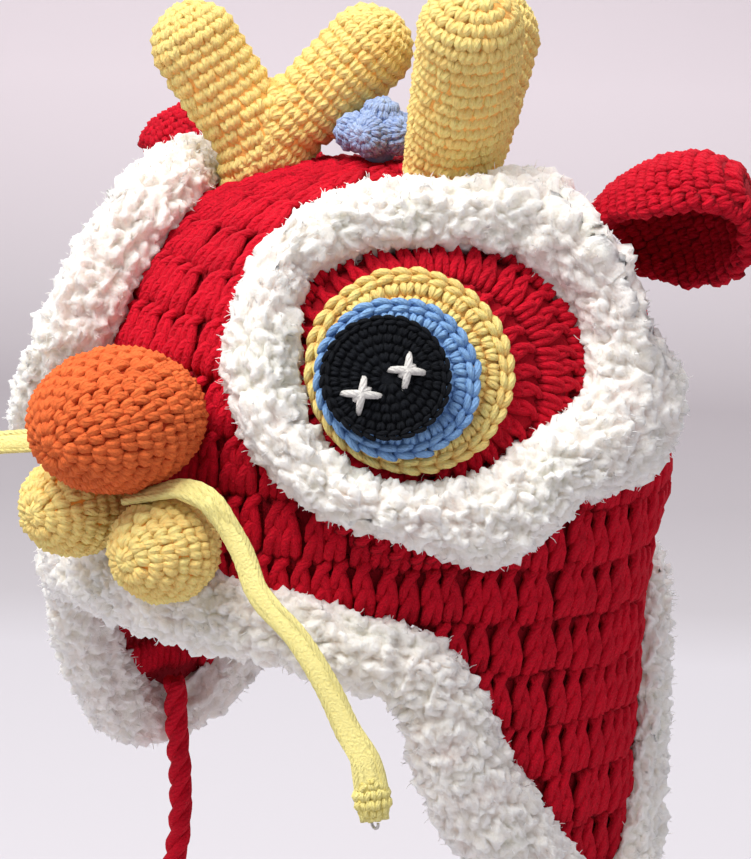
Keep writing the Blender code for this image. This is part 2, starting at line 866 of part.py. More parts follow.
def whisker_half_width(share):
    """Wide at the nose, narrow before the tip, with a fat closed end."""
    waist = 1.0 - 0.16 * math.sin(math.pi * min(share / 0.86, 1.0))
    swell = 0.30 * math.exp(-((share - 0.93) / 0.06) ** 2)
    return WHISKER_WIDTH / 2.0 * (waist + swell)


def build_whisker(side):
    count = WHISKER_SECTIONS
    points = smooth_route(WHISKER_ROUTES[side], count)
    rings = []
    for index, point in enumerate(points):
        along = (points[min(index + 1, count - 1)] - points[max(index - 1, 0)]).normalized()
        out = Vector((point.x, point.y * 0.8, 0.0)).normalized()
        if index < len(WHISKER_START_FACES):
            out = Vector(WHISKER_START_FACES[index])
        wide = along.cross(out).normalized()
        thick = wide.cross(along).normalized()
        share = index / (count - 1)
        half = whisker_half_width(share) * (0.62 if index in (0, count - 1) else 1.0)
        deep = WHISKER_THICKNESS / 2.0
        ring = []
        for k in range(8):
            angle = 2 * math.pi * (k + 0.5) / 8
            ring.append(point + wide * (half * 1.08 * math.cos(angle))
                        - thick * (deep * 1.08 * math.sin(angle)))
        rings.append(ring)
    loft("whisker_" + side, rings, "pale_yarn")
    end = points[-1]
    ahead = (points[-1] - points[-2]).normalized()
    build_wire(side, end, ahead)


def build_wire(side, end, ahead):
    """The bare end of the whisker's wire, bent back into a small eye."""
    start = end + ahead * (WIRE_DIAMETER * 0.5 + GAP)
    sideways = ahead.cross(Vector((0, 1, 0))).normalized()
    route = []
    for k in range(7):
        angle = math.pi * k / 6
        route.append(start + ahead * (0.0016 * math.sin(angle))
                     + sideways * (0.0012 * math.cos(angle)))
    tube("whisker_wire_" + side, route, WIRE_DIAMETER, 2, "wire")


def tube(name, route, diameter, resolution, finish):
    curve = bpy.data.curves.new(name, "CURVE")
    curve.dimensions = "3D"
    curve.bevel_depth = diameter / 2.0
    curve.bevel_resolution = resolution
    curve.use_fill_caps = True
    line = curve.splines.new("POLY")
    line.points.add(len(route) - 1)
    for knot, place in zip(line.points, route):
        knot.co = (*place, 1.0)
    thing = bpy.data.objects.new(name, curve)
    curve.materials.append(finishes[finish])
    hat.objects.link(thing)
    return thing


def build_tie(side):
    route = smooth_route(TIE_ROUTES[side], 14)
    tube("tie_" + side, route, TIE_DIAMETER, 2, "red_yarn")
    below = (route[-1] - route[-2]).normalized()
    centre = route[-1] + below * (KNOT_HALF.z + GAP)
    ellipsoid("tie_knot_" + side, centre, KNOT_HALF, 10, 7, "red_yarn")


clear_scene()
hat = bpy.data.collections.new("crochet_dragon_hat")
bpy.context.scene.collection.children.link(hat)
finishes = {name: make_finish(name) for name in FINISHES}

build_crown()
build_rim_fur()
build_nose()
build_balls()
build_cloud()
for side_name in SIDES:
    build_eye(side_name)
    build_whisker(side_name)
    build_antler(side_name)
    build_ear(side_name)
    build_tie(side_name)
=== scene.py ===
"""The crochet dragon hat in yarn and fleece: stitches, fleece and twisted ties worked
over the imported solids, a pale studio and the photograph's camera.

Metres, +Z up, the front of the hat faces -Y and the wearer's left is +X.
"""

import math

import bpy
import numpy as np
from mathutils import Matrix, Vector, noise
from mathutils.bvhtree import BVHTree


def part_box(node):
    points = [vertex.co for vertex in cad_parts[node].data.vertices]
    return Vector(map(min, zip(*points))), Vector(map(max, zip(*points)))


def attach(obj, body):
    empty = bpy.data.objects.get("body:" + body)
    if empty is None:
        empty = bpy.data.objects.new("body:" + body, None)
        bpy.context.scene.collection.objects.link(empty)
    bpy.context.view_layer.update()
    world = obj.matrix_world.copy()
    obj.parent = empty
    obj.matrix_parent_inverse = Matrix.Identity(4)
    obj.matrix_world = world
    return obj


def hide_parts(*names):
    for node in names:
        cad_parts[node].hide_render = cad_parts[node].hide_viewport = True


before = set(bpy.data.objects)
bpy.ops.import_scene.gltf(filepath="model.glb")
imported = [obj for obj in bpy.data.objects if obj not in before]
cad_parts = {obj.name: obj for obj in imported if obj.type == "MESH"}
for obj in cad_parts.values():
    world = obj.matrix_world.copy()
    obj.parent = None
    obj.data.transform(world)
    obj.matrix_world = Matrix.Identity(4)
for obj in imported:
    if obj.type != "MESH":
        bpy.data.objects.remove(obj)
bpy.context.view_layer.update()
rng = np.random.default_rng(7)
noise.seed_set(7)

LEFT = 1
RIGHT = -1
SIDES = {"left": LEFT, "right": RIGHT}

# Camera: the photograph's angle and distance
CAMERA_AZIMUTH = 40.0
CAMERA_ELEVATION = 14.2
CAMERA_ROLL = 2.0
CAMERA_DISTANCE = 0.80
CAMERA_LENS = 106.3
CAMERA_SHIFT = -0.0052
CAMERA_TARGET = Vector((0.0, 0.0, 0.031))

# The crown's outer surface, the same as the solid's
CROWN_HALF_WIDTHS = {LEFT: 0.0885, RIGHT: 0.0955}
CROWN_HALF_DEPTH = 0.095
CROWN_HEIGHT = 0.1142
CROWN_POWER = 2.6
FLAP_SPREADS = {LEFT: 0.0, RIGHT: 0.003}
FLAP_SPREAD_DEPTH = 0.080
FAR_FLAP_LENGTH = 0.84
WALL = 0.005
NAPE_START = 96.0
NAPE_SWEEP = 34.0
NAPE_TUCK = 0.008
NAPE_TUCK_TOP = 0.018
NAPE_TUCK_HEIGHT = 0.026

# Knitted edge. Columns: turn from the front, height in mm
EDGE = np.array((
    (0, 6), (24, 5.5), (31, 3.5), (38, 0), (46, -3), (53, -8), (58, -17), (61.5, -28),
    (64.5, -40), (69, -52), (75, -66), (81.5, -81), (87.5, -92), (94, -96), (100.5, -90),
    (105.5, -77), (109, -63), (111.5, -48), (113, -33), (117, -21), (123, -13),
    (130, -9), (137, -8), (180, -8),
))

# Double crochet of the crown
DC_ROWS = 12
DC_WIDTH = 0.0062
DC_LOW_LINE = -0.025
DC_TILT = 0.010
DC_FLAP_ROW = 0.0165
DC_FLAP_ROWS = 5
DC_FLAP_TURNS = (44.0, 140.0)
DC_YARN = 0.0017
DC_CORE_DEPTH = 0.0019
DC_FOOT_DEPTH = 0.0006
DC_OVERLAP = 1.04
DC_SWAY = 0.075
POST_FOOT_RISE = 0.0012
POST_YARN = DC_YARN * 0.95
# Turn of one stitch in degrees, where the flaps are 92 mm from the middle
DC_FLAP_TURN = DC_WIDTH / 0.092 * 57.3
# How far below the edge a stitch's middle may lie, under the fur
EDGE_ALLOWANCE = 0.004

# Single crochet. Columns: stitch width, row height, radius of its yarn
ANTLER_STITCH = (0.0043, 0.0039, 0.0014)
NOSE_STITCH = (0.0052, 0.0042, 0.0016)
LIP_STITCH = (0.0048, 0.0039, 0.0015)
EAR_STITCH = (0.0042, 0.0036, 0.0013)
CLOUD_STITCH = (0.0036, 0.0031, 0.0011)
WHISKER_END_STITCH = (0.0034, 0.0032, 0.0010)
# How far its stitches sink in, in yarn radii, how far they overlap and how uneven they are
SC_SINK = 0.85
SC_OVERLAP = 1.05
SC_SWAY = 0.06
NOSE_DROOP = 9.0

# Ties: the same routes as the solids', listed
TIE_DIAMETER = 0.0085
TIE_PITCH = 0.026
TIE_PLY = 0.0023
TIE_SWELL_LENGTH = 0.0087
KNOT_DROP = 0.0089
KNOT_SIZE = 0.00175
KNOT_RISE = 0.0034
KNOT_YARN = 0.0025
KNOT_TAIL = 0.0078
KNOT_OVERLAP = 0.0015
# Radii at the start and end of the neck and of the short tails, and how the tails lean
KNOT_NECK_RADII = (0.0040, 0.0029)
KNOT_TAIL_RADII = (0.0021, 0.0013)
KNOT_LEANS = (-0.5, 0.6)
TIE_ROUTES = {
    "left": (
        (0.0768, 0.0030, -0.0860), (0.0756, 0.0035, -0.1020), (0.0732, 0.0025, -0.1200),
        (0.0750, 0.0005, -0.1380), (0.0755, -0.0010, -0.1560), (0.0755, 0.0000, -0.1740),
        (0.0750, 0.0020, -0.1920), (0.0745, 0.0035, -0.2100), (0.0745, 0.0040, -0.2280),
        (0.0750, 0.0035, -0.2460), (0.0755, 0.0030, -0.2640), (0.0755, 0.0030, -0.2800),
    ),
    "right": (
        (-0.0858, -0.0030, -0.0740), (-0.0858, -0.0020, -0.0910), (-0.0856, 0.0000, -0.1110),
        (-0.0855, 0.0000, -0.1290), (-0.0870, -0.0020, -0.1470), (-0.0890, -0.0045, -0.1650),
        (-0.0895, -0.0055, -0.1830), (-0.0890, -0.0045, -0.2010), (-0.0880, -0.0025, -0.2190),
        (-0.0875, -0.0010, -0.2370), (-0.0875, 0.0000, -0.2550), (-0.0875, 0.0000, -0.2710),
    ),
}

# Whiskers: the same routes as the solids'
WHISKER_WIDTH = 0.0074
WHISKER_STITCH = 0.0032
# Columns: share of the half width, radius
WHISKER_STRANDS = (
    (-0.74, 0.00115),
    (-0.34, 0.00130),
    (0.00, 0.00105),
    (0.34, 0.00130),
    (0.74, 0.00115),
)
WHISKER_STEPS = 84
WHISKER_END = np.array((0.0050, 0.0062, 0.0024))
WHISKER_END_RISE = 0.0060
WHISKER_START_FACES = ((0.0, -0.2, 1.0), (0.0, -0.35, 1.0), (0.0, -0.5, 0.9), (0.1, -0.7, 0.7))
WHISKER_ROUTES = {
    "left": (
        (0.0065, -0.1155, 0.0322), (0.0150, -0.1150, 0.0352), (0.0240, -0.1130, 0.0380),
        (0.0325, -0.1103, 0.0355), (0.0405, -0.1062, 0.0230), (0.0475, -0.1055, 0.0107),
        (0.0580, -0.1020, 0.0010), (0.0665, -0.0985, -0.0117), (0.0720, -0.0955, -0.0240),
        (0.0780, -0.0935, -0.0335), (0.0810, -0.0930, -0.0490),
    ),
    "right": (
        (-0.0060, -0.1020, 0.0345), (-0.0180, -0.1020, 0.0395), (-0.0310, -0.1033, 0.0400),
        (-0.0450, -0.1065, 0.0372), (-0.0600, -0.1110, 0.0340), (-0.0740, -0.1150, 0.0290),
        (-0.0850, -0.1165, 0.0230), (-0.0920, -0.1165, 0.0110), (-0.0960, -0.1150, -0.0020),
        (-0.0985, -0.1130, -0.0150), (-0.1000, -0.1110, -0.0270),
    ),
}

# Length of yarn over which its fibres wind round it by one radian
FIBRE_SCALE = 0.0021
# Length in m over which the fibres of a core or of fleece change
SOLID_FIBRE_SCALE = 0.004

# Yarn colours in sRGB: the lit side, and a painted shade colour for the depth between the
# strands
YARNS = {
    "red": ((0.85, 0.02, 0.155), (0.38, 0.0, 0.045)),
    "yellow": ((1.0, 0.935, 0.60), (1.0, 0.62, 0.22)),
    "blue": ((0.57, 0.74, 0.92), (0.30, 0.48, 0.76)),
    "light_blue": ((0.70, 0.78, 0.93), (0.40, 0.54, 0.80)),
    "black": ((0.050, 0.068, 0.100), (0.01, 0.012, 0.02)),
    "orange": ((0.95, 0.47, 0.24), (0.62, 0.17, 0.04)),
    "pale": ((1.0, 0.955, 0.63), (1.0, 0.91, 0.50)),
    "white": ((0.93, 0.92, 0.90), (0.62, 0.62, 0.62)),
}


# The crown's surface, for arrays of turns in radians and heights

def smooth(share):
    """Eases a share from 0 to 1."""
    share = np.clip(share, 0.0, 1.0)
    return share * share * (3.0 - 2.0 * share)


def half_width_at(x, height):
    """The crown's half width on the side of x, wider down the flaps."""
    share = np.clip(-height / FLAP_SPREAD_DEPTH, 0.0, 1.0) ** 2
    left = CROWN_HALF_WIDTHS[LEFT] + FLAP_SPREADS[LEFT] * share
    right = CROWN_HALF_WIDTHS[RIGHT] + FLAP_SPREADS[RIGHT] * share
    return np.where(x > 0.0, left, right)


def tuck(turn, height):
    """How far the wall is drawn in at the nape."""
    nape = smooth((np.abs(np.degrees(turn)) - NAPE_START) / NAPE_SWEEP)
    return NAPE_TUCK * nape * smooth((NAPE_TUCK_TOP - height) / NAPE_TUCK_HEIGHT)


def crown_point(turn, height):
    """Points of the crown's outer surface at turns and heights."""
    turn, height = np.broadcast_arrays(turn, height)
    upward = np.clip(height / CROWN_HEIGHT, 0.0, 1.0)
    across = (1.0 - upward ** CROWN_POWER) ** (1.0 / CROWN_POWER)
    drawn = tuck(turn, height)
    wide = half_width_at(np.sin(turn), height) - drawn
    deep = CROWN_HALF_DEPTH - drawn
    return np.stack((wide * across * np.sin(turn), -deep * across * np.cos(turn),
                     height), axis=-1)


def level(points):
    """Negative inside the crown's outer surface, 0 on it, positive outside."""
    x, y, z = points[..., 0], points[..., 1], points[..., 2]
    wide = half_width_at(x, z)
    drawn = tuck(np.arctan2(x / wide, -y / CROWN_HALF_DEPTH), z)
    across = np.hypot(x / (wide - drawn), y / (CROWN_HALF_DEPTH - drawn))
    upward = np.maximum(z, 0.0) / CROWN_HEIGHT
    return (across ** CROWN_POWER + upward ** CROWN_POWER) ** (1.0 / CROWN_POWER) - 1.0


def crown_normal(points):
    """Outward normals of the crown's surface at points on it."""
    step = 0.0004
    slope = [level(points + step * np.eye(3)[axis]) - level(points - step * np.eye(3)[axis])
             for axis in range(3)]
    return unit(np.stack(slope, axis=-1))


def unit(vectors):
    size = np.linalg.norm(vectors, axis=-1, keepdims=True)
    return vectors / np.maximum(size, 1e-9)


def square_to(vectors, out):
    """Unit vectors (n, 3), turned the least to lie square to others."""
    return unit(vectors - out * np.sum(vectors * out, axis=1, keepdims=True))


def reach_along(lines):
    """The distance run along lines (..., k, 3), at each of their points."""
    hops = np.linalg.norm(np.diff(lines, axis=-2), axis=-1)
    return np.concatenate((np.zeros_like(hops[..., :1]), np.cumsum(hops, axis=-1)), axis=-1)


def read_line(goals, reach, line):
    """Points of a line at the distances that goals give."""
    return np.stack([np.interp(goals, reach, line[:, axis]) for axis in range(3)], axis=1)


def edge_height(turn):
    """Height of the knitted edge at a turn, on either side."""
    height = np.interp(np.abs(np.degrees(turn)), EDGE[:, 0], EDGE[:, 1]) / 1000.0
    shortened = np.where((turn < 0.0) & (height < 0.0), FAR_FLAP_LENGTH, 1.0)
    return height * shortened


# Meshes gathered from arrays

class Weave:
    """Gathers points and faces, then makes one mesh object of them."""

    def __init__(self):
        self.points = []
        self.faces = []
        self.tones_and_shades = []
        self.fibres = []
        self.count = 0

    def add(self, points, faces, tones_and_shades, fibres):
        self.points.append(points.reshape(-1, 3))
        self.faces += [group + self.count for group in faces]
        self.tones_and_shades.append(np.broadcast_to(tones_and_shades, len(self.points[-1])))
        self.fibres.append(fibres.reshape(-1, 3))
        self.count += len(self.points[-1])

    def finish(self, name, material):
        mesh = bpy.data.meshes.new(name)
        points = np.concatenate(self.points)
        loops = np.concatenate([group.ravel() for group in self.faces])
        sizes = np.concatenate([np.full(len(g), g.shape[1]) for g in self.faces])
        starts = np.concatenate(([0], np.cumsum(sizes)[:-1]))
        mesh.vertices.add(len(points))
        mesh.vertices.foreach_set("co", points.astype(np.float32).ravel())
        mesh.loops.add(len(loops))
        mesh.loops.foreach_set("vertex_index", loops.astype(np.int32))
        mesh.polygons.add(len(sizes))
        mesh.polygons.foreach_set("loop_start", starts.astype(np.int32))
        tone_and_shade = mesh.attributes.new("tone_and_shade", "FLOAT", "POINT")
        tone_and_shade.data.foreach_set("value", np.concatenate(self.tones_and_shades).astype(np.float32))
        fibre = mesh.attributes.new("fibre", "FLOAT_VECTOR", "POINT")
        fibre.data.foreach_set("vector", np.concatenate(self.fibres).astype(np.float32).ravel())
        mesh.update(calc_edges=True)
        mesh.validate()
        mesh.shade_smooth()
        mesh.materials.append(material)
        return put(name, mesh)


def put(name, data):
    """A new object in the scene."""
    thing = bpy.data.objects.new(name, data)
    bpy.context.scene.collection.objects.link(thing)
    return thing


def tubes(weave, paths, radii, outs, sides, tones_and_shades):
    """Closed tubes along paths (n, k, 3), with radii (n, k), turned to face outs (n, 3).

    The brightness values, for random tone and painted shade, are one number, one a tube or one a
    step of each tube.
    """
    count, steps = paths.shape[:2]
    along = unit(np.gradient(paths, axis=1))
    side = unit(np.cross(along, outs[:, None, :]))
    lift = np.cross(side, along)
    angles = 2 * np.pi * np.arange(sides) / sides
    swing = (side[:, :, None, :] * np.cos(angles)[:, None]
             + lift[:, :, None, :] * np.sin(angles)[:, None])
    rings = paths[:, :, None, :] + swing * radii[:, :, None, None]
    first = np.arange(count)[:, None, None] * steps * sides
    row = np.arange(steps - 1)[:, None] * sides
    here = np.arange(sides)
    after = (here + 1) % sides
    quads = np.stack((first + row + here, first + row + sides + here,
                      first + row + sides + after, first + row + after), axis=-1)
    start_caps = first[:, 0, :] + here
    end_caps = first[:, 0, :] + (steps - 1) * sides + here[::-1]
    twist = reach_along(paths) / FIBRE_SCALE
    phase = rng.uniform(0.0, 20.0, (count, 1))
    fibre = np.stack((
        np.cos(angles + twist[:, :, None]),
        np.sin(angles + twist[:, :, None]),
        np.broadcast_to((twist * 0.5 + phase)[:, :, None], (count, steps, sides))), axis=-1)
    if np.ndim(tones_and_shades) < 2:
        tones_and_shades = np.reshape(tones_and_shades, (-1, 1))
    shade = np.broadcast_to(tones_and_shades[:, :, None], (count, steps, sides))
    weave.add(rings, [quads.reshape(-1, 4), start_caps, end_caps], shade.ravel(), fibre)


def tube(weave, path, radii, out, sides, tone_and_shade):
    """One closed tube along a path (k, 3)."""
    radii = np.broadcast_to(radii, len(path))
    tubes(weave, path[None], radii[None], np.array(out)[None], sides, tone_and_shade)


def circle(count):
    """Angles spread evenly once round."""
    return np.linspace(0.0, 2 * np.pi, count, endpoint=False)


def resample(points, count):
    """A Catmull-Rom curve through rows of numbers, read at evenly spaced places."""
    points = np.asarray(points, float)
    last = len(points) - 1
    places = np.linspace(0.0, last, count)
    row = np.minimum(places.astype(int), last - 1)
    share = (places - row)[:, None]
    before, after = points[np.maximum(row - 1, 0)], points[np.minimum(row + 2, last)]
    first, second = points[row], points[row + 1]
    return first + 0.5 * share * (
        second - before + share * (2 * before - 5 * first + 4 * second - after
                                   + share * (3 * (first - second) + after - before)))


def even_route(route, count):
    """Evenly spread points on a smooth curve through a route's own points."""
    dense = resample(route, 400)
    reach = reach_along(dense)
    return read_line(np.linspace(0.0, reach[-1], count), reach, dense)


# Stitches: each strand's control points are across, up and out, in stitch widths, stitch
# heights and yarn radii, and the share of the yarn's radius there
DOUBLE_CROCHET = (
    ((0.10, -0.06, -1.4, 0.7), (0.24, 0.12, 0.2, 1.0), (0.27, 0.38, 0.6, 1.05),
     (0.12, 0.66, 0.5, 1.0), (-0.10, 0.90, 0.3, 0.95), (-0.16, 1.04, -1.2, 0.7)),
    ((-0.20, 0.28, -1.4, 0.7), (-0.30, 0.46, 0.2, 1.0), (-0.30, 0.66, 0.5, 1.0),
     (-0.12, 0.84, 0.7, 1.0), (0.16, 0.96, 0.4, 0.95), (0.26, 1.06, -1.2, 0.7)),
    ((-0.30, -0.04, -1.4, 0.7), (-0.26, 0.12, 0.3, 1.0), (-0.20, 0.30, 0.8, 1.05),
     (-0.02, 0.46, 0.9, 1.0), (0.14, 0.58, 0.2, 0.9), (0.22, 0.66, -1.4, 0.7)),
)
PLAIN_POST = (
    ((-0.22, 0.00, -1.2, 0.8), (-0.26, 0.20, 0.2, 1.1), (-0.18, 0.5, 0.4, 1.1),
     (-0.24, 0.8, 0.2, 1.1), (-0.20, 1.00, -1.2, 0.8)),
    ((0.24, 0.00, -1.2, 0.8), (0.26, 0.20, 0.2, 1.1), (0.30, 0.5, 0.4, 1.1),
     (0.22, 0.8, 0.2, 1.1), (0.26, 1.00, -1.2, 0.8)),
)
SINGLE_CROCHET = (
    ((-0.27, 1.00, -1.2, 0.65), (-0.27, 0.76, 0.0, 1.0), (-0.21, 0.48, 0.35, 1.1),
     (-0.13, 0.22, 0.0, 1.0), (-0.09, 0.00, -1.3, 0.65)),
    ((0.30, 1.02, -1.2, 0.65), (0.28, 0.78, 0.0, 1.0), (0.21, 0.50, 0.35, 1.1),
     (0.13, 0.24, 0.0, 1.0), (0.08, 0.02, -1.3, 0.65)),
)
CHAIN = (
    ((-0.40, 1.10, -0.9, 0.75), (-0.40, 0.80, 0.2, 1.0), (-0.32, 0.42, 0.5, 1.1),
     (-0.18, 0.04, -0.1, 1.0), (-0.04, -0.24, -1.2, 0.7)),
    ((0.40, 1.10, -0.9, 0.75), (0.40, 0.80, 0.2, 1.0), (0.32, 0.42, 0.5, 1.1),
     (0.18, 0.04, -0.1, 1.0), (0.04, -0.24, -1.2, 0.7)),
)


def work(weave, places, template, width, height, yarn, steps, sides, jitter=0.05):
    """Works one stitch at every place: centre of its foot, across, up and out (n, 3).

    Jitter is how far stitches stray from their template, as a share of their size.
    """
    foot, across, up, out = places
    count = len(foot)
    if count == 0:
        return
    strands = np.stack([resample(strand, steps) for strand in template])
    sway = rng.normal(0.0, jitter, (count, 1, 1, 4))
    width = np.broadcast_to(width, count)[:, None, None]
    height = np.broadcast_to(height, count)[:, None, None]
    x = (strands[..., 0] + sway[..., 0]) * width
    y = (strands[..., 1] + 0.5 * sway[..., 1]) * height
    lean = sway[..., 2] * y
    z = (strands[..., 2] + 2.0 * sway[..., 3]) * yarn
    paths = (foot[:, None, None, :] + across[:, None, None, :] * (x + lean)[..., None]
             + up[:, None, None, :] * y[..., None] + out[:, None, None, :] * z[..., None])
    pieces = len(template)
    radii = np.broadcast_to(strands[..., 3] * yarn, (count, pieces, steps))
    paths = paths.reshape(count * pieces, steps, 3)
    # Strand ends that dive under are darkened as painted shade in the creases; each stitch's
    # tone also varies at random
    depth = np.clip((strands[..., 2] + 1.3) / 1.5, 0.15, 1.0)
    tone_and_shade = (rng.uniform(0.85, 1.05, (count, 1, 1)) * depth).reshape(count * pieces, steps)
    tubes(weave, paths, radii.reshape(count * pieces, steps), np.repeat(out, pieces, axis=0),
          sides, tone_and_shade)


def ring_places(line, normals, ups, width):
    """Evenly spaced stitches on a closed line: points, outward normals and ups (m, 3)."""
    phase = rng.uniform(0.0, 1.0)
    reach = reach_along(np.concatenate((line, line[:1])))
    count = max(int(round(reach[-1] / width)), 4)
    goals = (np.arange(count) + phase) % count * reach[-1] / count

    def read(values):
        return read_line(goals, reach, np.concatenate((values, values[:1])))

    out = unit(read(normals))
    up = read(ups)
    size = np.linalg.norm(up, axis=1)
    up = square_to(up, out)
    return (read(line), np.cross(up, out), up, out), reach[-1] / count, size


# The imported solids, read back as arrays and as trees for casting rays

def solid(node):
    """Welded points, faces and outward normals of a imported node."""
    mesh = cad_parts[node].data
    points = np.array([vertex.co for vertex in mesh.vertices])
    keys, welded = np.unique(np.round(points, 6), axis=0, return_inverse=True)
    welded = np.asarray(welded).ravel()
    mesh.calc_loop_triangles()
    faces = welded[np.array([tuple(t.vertices) for t in mesh.loop_triangles])]
    faces = faces[(faces[:, 0] != faces[:, 1]) & (faces[:, 1] != faces[:, 2])
                  & (faces[:, 2] != faces[:, 0])]
    return keys, faces, point_normals(keys, faces)


def point_normals(points, faces, even=False):
    """Normals of the points of a mesh, by the area of its faces or with every face alike."""
    a, b, c = [points[faces[:, k]] for k in range(3)]
    flat = np.cross(b - a, c - a)
    if even:
        flat = unit(flat)
    normals = np.zeros_like(points)
    for corner in range(3):
        np.add.at(normals, faces[:, corner], flat)
    return unit(normals)


def tree(node):
    """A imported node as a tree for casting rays."""
    points, faces, _ = solid(node)
    return BVHTree.FromPolygons([Vector(p) for p in points], faces.tolist())


def slices(node, axis, spacing):
    """Closed outlines of a solid cut square to an axis: points and outward normals."""
    points, faces, normals = solid(node)
    reach = points @ axis
    rows = max(int(round((reach.max() - reach.min()) / spacing)), 2)
    found = []
    for row in range(rows):
        cut = reach.min() + (row + 0.5) / rows * (reach.max() - reach.min()) + 1e-7
        above = reach > cut
        links = {}
        for face in faces[above[faces].any(axis=1) & ~above[faces].all(axis=1)]:
            ends = {}
            for a, b in zip(face, np.roll(face, -1)):
                if above[a] != above[b]:
                    ends[bool(above[a])] = (min(a, b), max(a, b))
            links[ends[True]] = ends[False]
        while links:
            edge, following = links.popitem()
            loop = [edge]
            while following in links:
                loop.append(following)
                following = links.pop(following)
            a, b = np.array(loop).T
            share = ((cut - reach[a]) / (reach[b] - reach[a]))[:, None]
            found.append((points[a] * (1.0 - share) + points[b] * share,
                          unit(normals[a] * (1.0 - share) + normals[b] * share)))
    return found


def core(node, depth, tone_and_shade):
    """A weave that starts with the solid, drawn in by a depth, as the body behind stitches; a
    tone value under 1 darkens it as painted shade in the gaps between stitches.
    """
    points, faces, normals = solid(node)
    weave = Weave()
    weave.add(points - normals * depth, [faces], tone_and_shade, points / SOLID_FIBRE_SCALE)
    return weave


# Materials

def linear(colour):
    """A colour in sRGB as linear light, opaque."""
    light = [c / 12.92 if c <= 0.04045 else ((c + 0.055) / 1.055) ** 2.4 for c in colour]
    return (*light, 1.0)


# Sockets of the mix node that are used when it mixes colours
MIX_FACTOR = 0
MIX_FIRST = 6
MIX_SECOND = 7
MIX_RESULT = 2


class Shader:
    """A small helper that adds and links the nodes of one material."""

    def __init__(self, name):
        self.material = bpy.data.materials.new(name)
        self.material.use_nodes = True
        self.tree = self.material.node_tree

    def feed(self, node, inputs):
        """Links sockets into a node's inputs, and sets plain values there."""
        for key, value in inputs.items():
            if isinstance(value, bpy.types.NodeSocket):
                self.tree.links.new(value, node.inputs[key])
            else:
                node.inputs[key].default_value = value

    def node(self, kind, inputs, **settings):
        made = self.tree.nodes.new(kind)
        for key, value in settings.items():
            setattr(made, key, value)
        self.feed(made, inputs)
        return made

    def finish(self, inputs):
        """Feeds the surface and gives the material."""
        self.feed(self.tree.nodes["Principled BSDF"], inputs)
        return self.material

    def place(self):
        return self.node("ShaderNodeTexCoord", {}).outputs["Object"]

    def attribute(self, name, output):
        return self.node("ShaderNodeAttribute", {}, attribute_name=name).outputs[output]

    def noise(self, vector, scale, detail):
        inputs = {"Vector": vector, "Scale": scale, "Detail": detail}
        return self.node("ShaderNodeTexNoise", inputs).outputs["Fac"]

    def ramp(self, factor, low, high):
        inputs = {"Value": factor, "From Min": low, "From Max": high}
        return self.node("ShaderNodeMapRange", inputs).outputs["Result"]

    def math(self, operation, first, second):
        return self.node("ShaderNodeMath", {0: first, 1: second}, operation=operation).outputs[0]

    def mix(self, factor, first, second):
        inputs = {MIX_FACTOR: factor, MIX_FIRST: first, MIX_SECOND: second}
        return self.node("ShaderNodeMix", inputs, data_type="RGBA").outputs[MIX_RESULT]

    def plies(self, fibre, count):
        """The cosine of a multiple of the fibre's angle: 1 on a ply, -1 between plies."""
        split = self.node("ShaderNodeSeparateXYZ", {"Vector": fibre}).outputs
        angle = self.math("ARCTAN2", split["Y"], split["X"])
        return self.math("COSINE", self.math("MULTIPLY", angle, count), 0.0)

    def bump(self, height, strength, distance, below=None):
        inputs = {"Height": height, "Strength": strength, "Distance": distance}
        if below is not None:
            inputs["Normal"] = below
        return self.node("ShaderNodeBump", inputs).outputs["Normal"]


def yarn_material(name, key, sheen=0.35, mottle=0.25):
    """Spun yarn: fibres that wind round each strand, mottled colour, painted shade in the depth
    between strands and a soft sheen.
    """
    light, painted_depth_shade = YARNS[key]
    shader = Shader(name)
    fibre = shader.attribute("fibre", "Vector")
    tone_and_shade = shader.attribute("tone_and_shade", "Fac")
    place = shader.place()
    streaks = shader.noise(fibre, 6.0, 4.0)
    fuzz = shader.noise(place, 1300.0, 4.0)
    patches = shader.noise(place, 95.0, 2.0)
    # A low tone value darkens towards the painted shade colour: painted shade in the depth
    # between strands, with random tone, fibre streaks, mottle and fuzz
    shade = shader.math("MULTIPLY", tone_and_shade, shader.ramp(streaks, -0.25, 0.52))
    mottled = shader.math("MULTIPLY", patches, mottle)
    shade = shader.math("SUBTRACT", shader.math("ADD", shade, 0.5 * mottle), mottled)
    shade = shader.math("MULTIPLY", shade, shader.ramp(fuzz, -0.4, 0.52))
    wound = shader.bump(shader.plies(fibre, 6.0), 0.5, 0.0003)
    coarse = shader.bump(streaks, 0.7, 0.0005, wound)
    return shader.finish({
        "Base Color": shader.mix(shade, linear(painted_depth_shade), linear(light)),
        "Normal": shader.bump(fuzz, 0.6, 0.0005, coarse),
        "Roughness": 0.9,
        "Specular IOR Level": 0.25,
        "Sheen Weight": sheen,
        "Sheen Roughness": 0.45,
        "Sheen Tint": linear(light),
    })


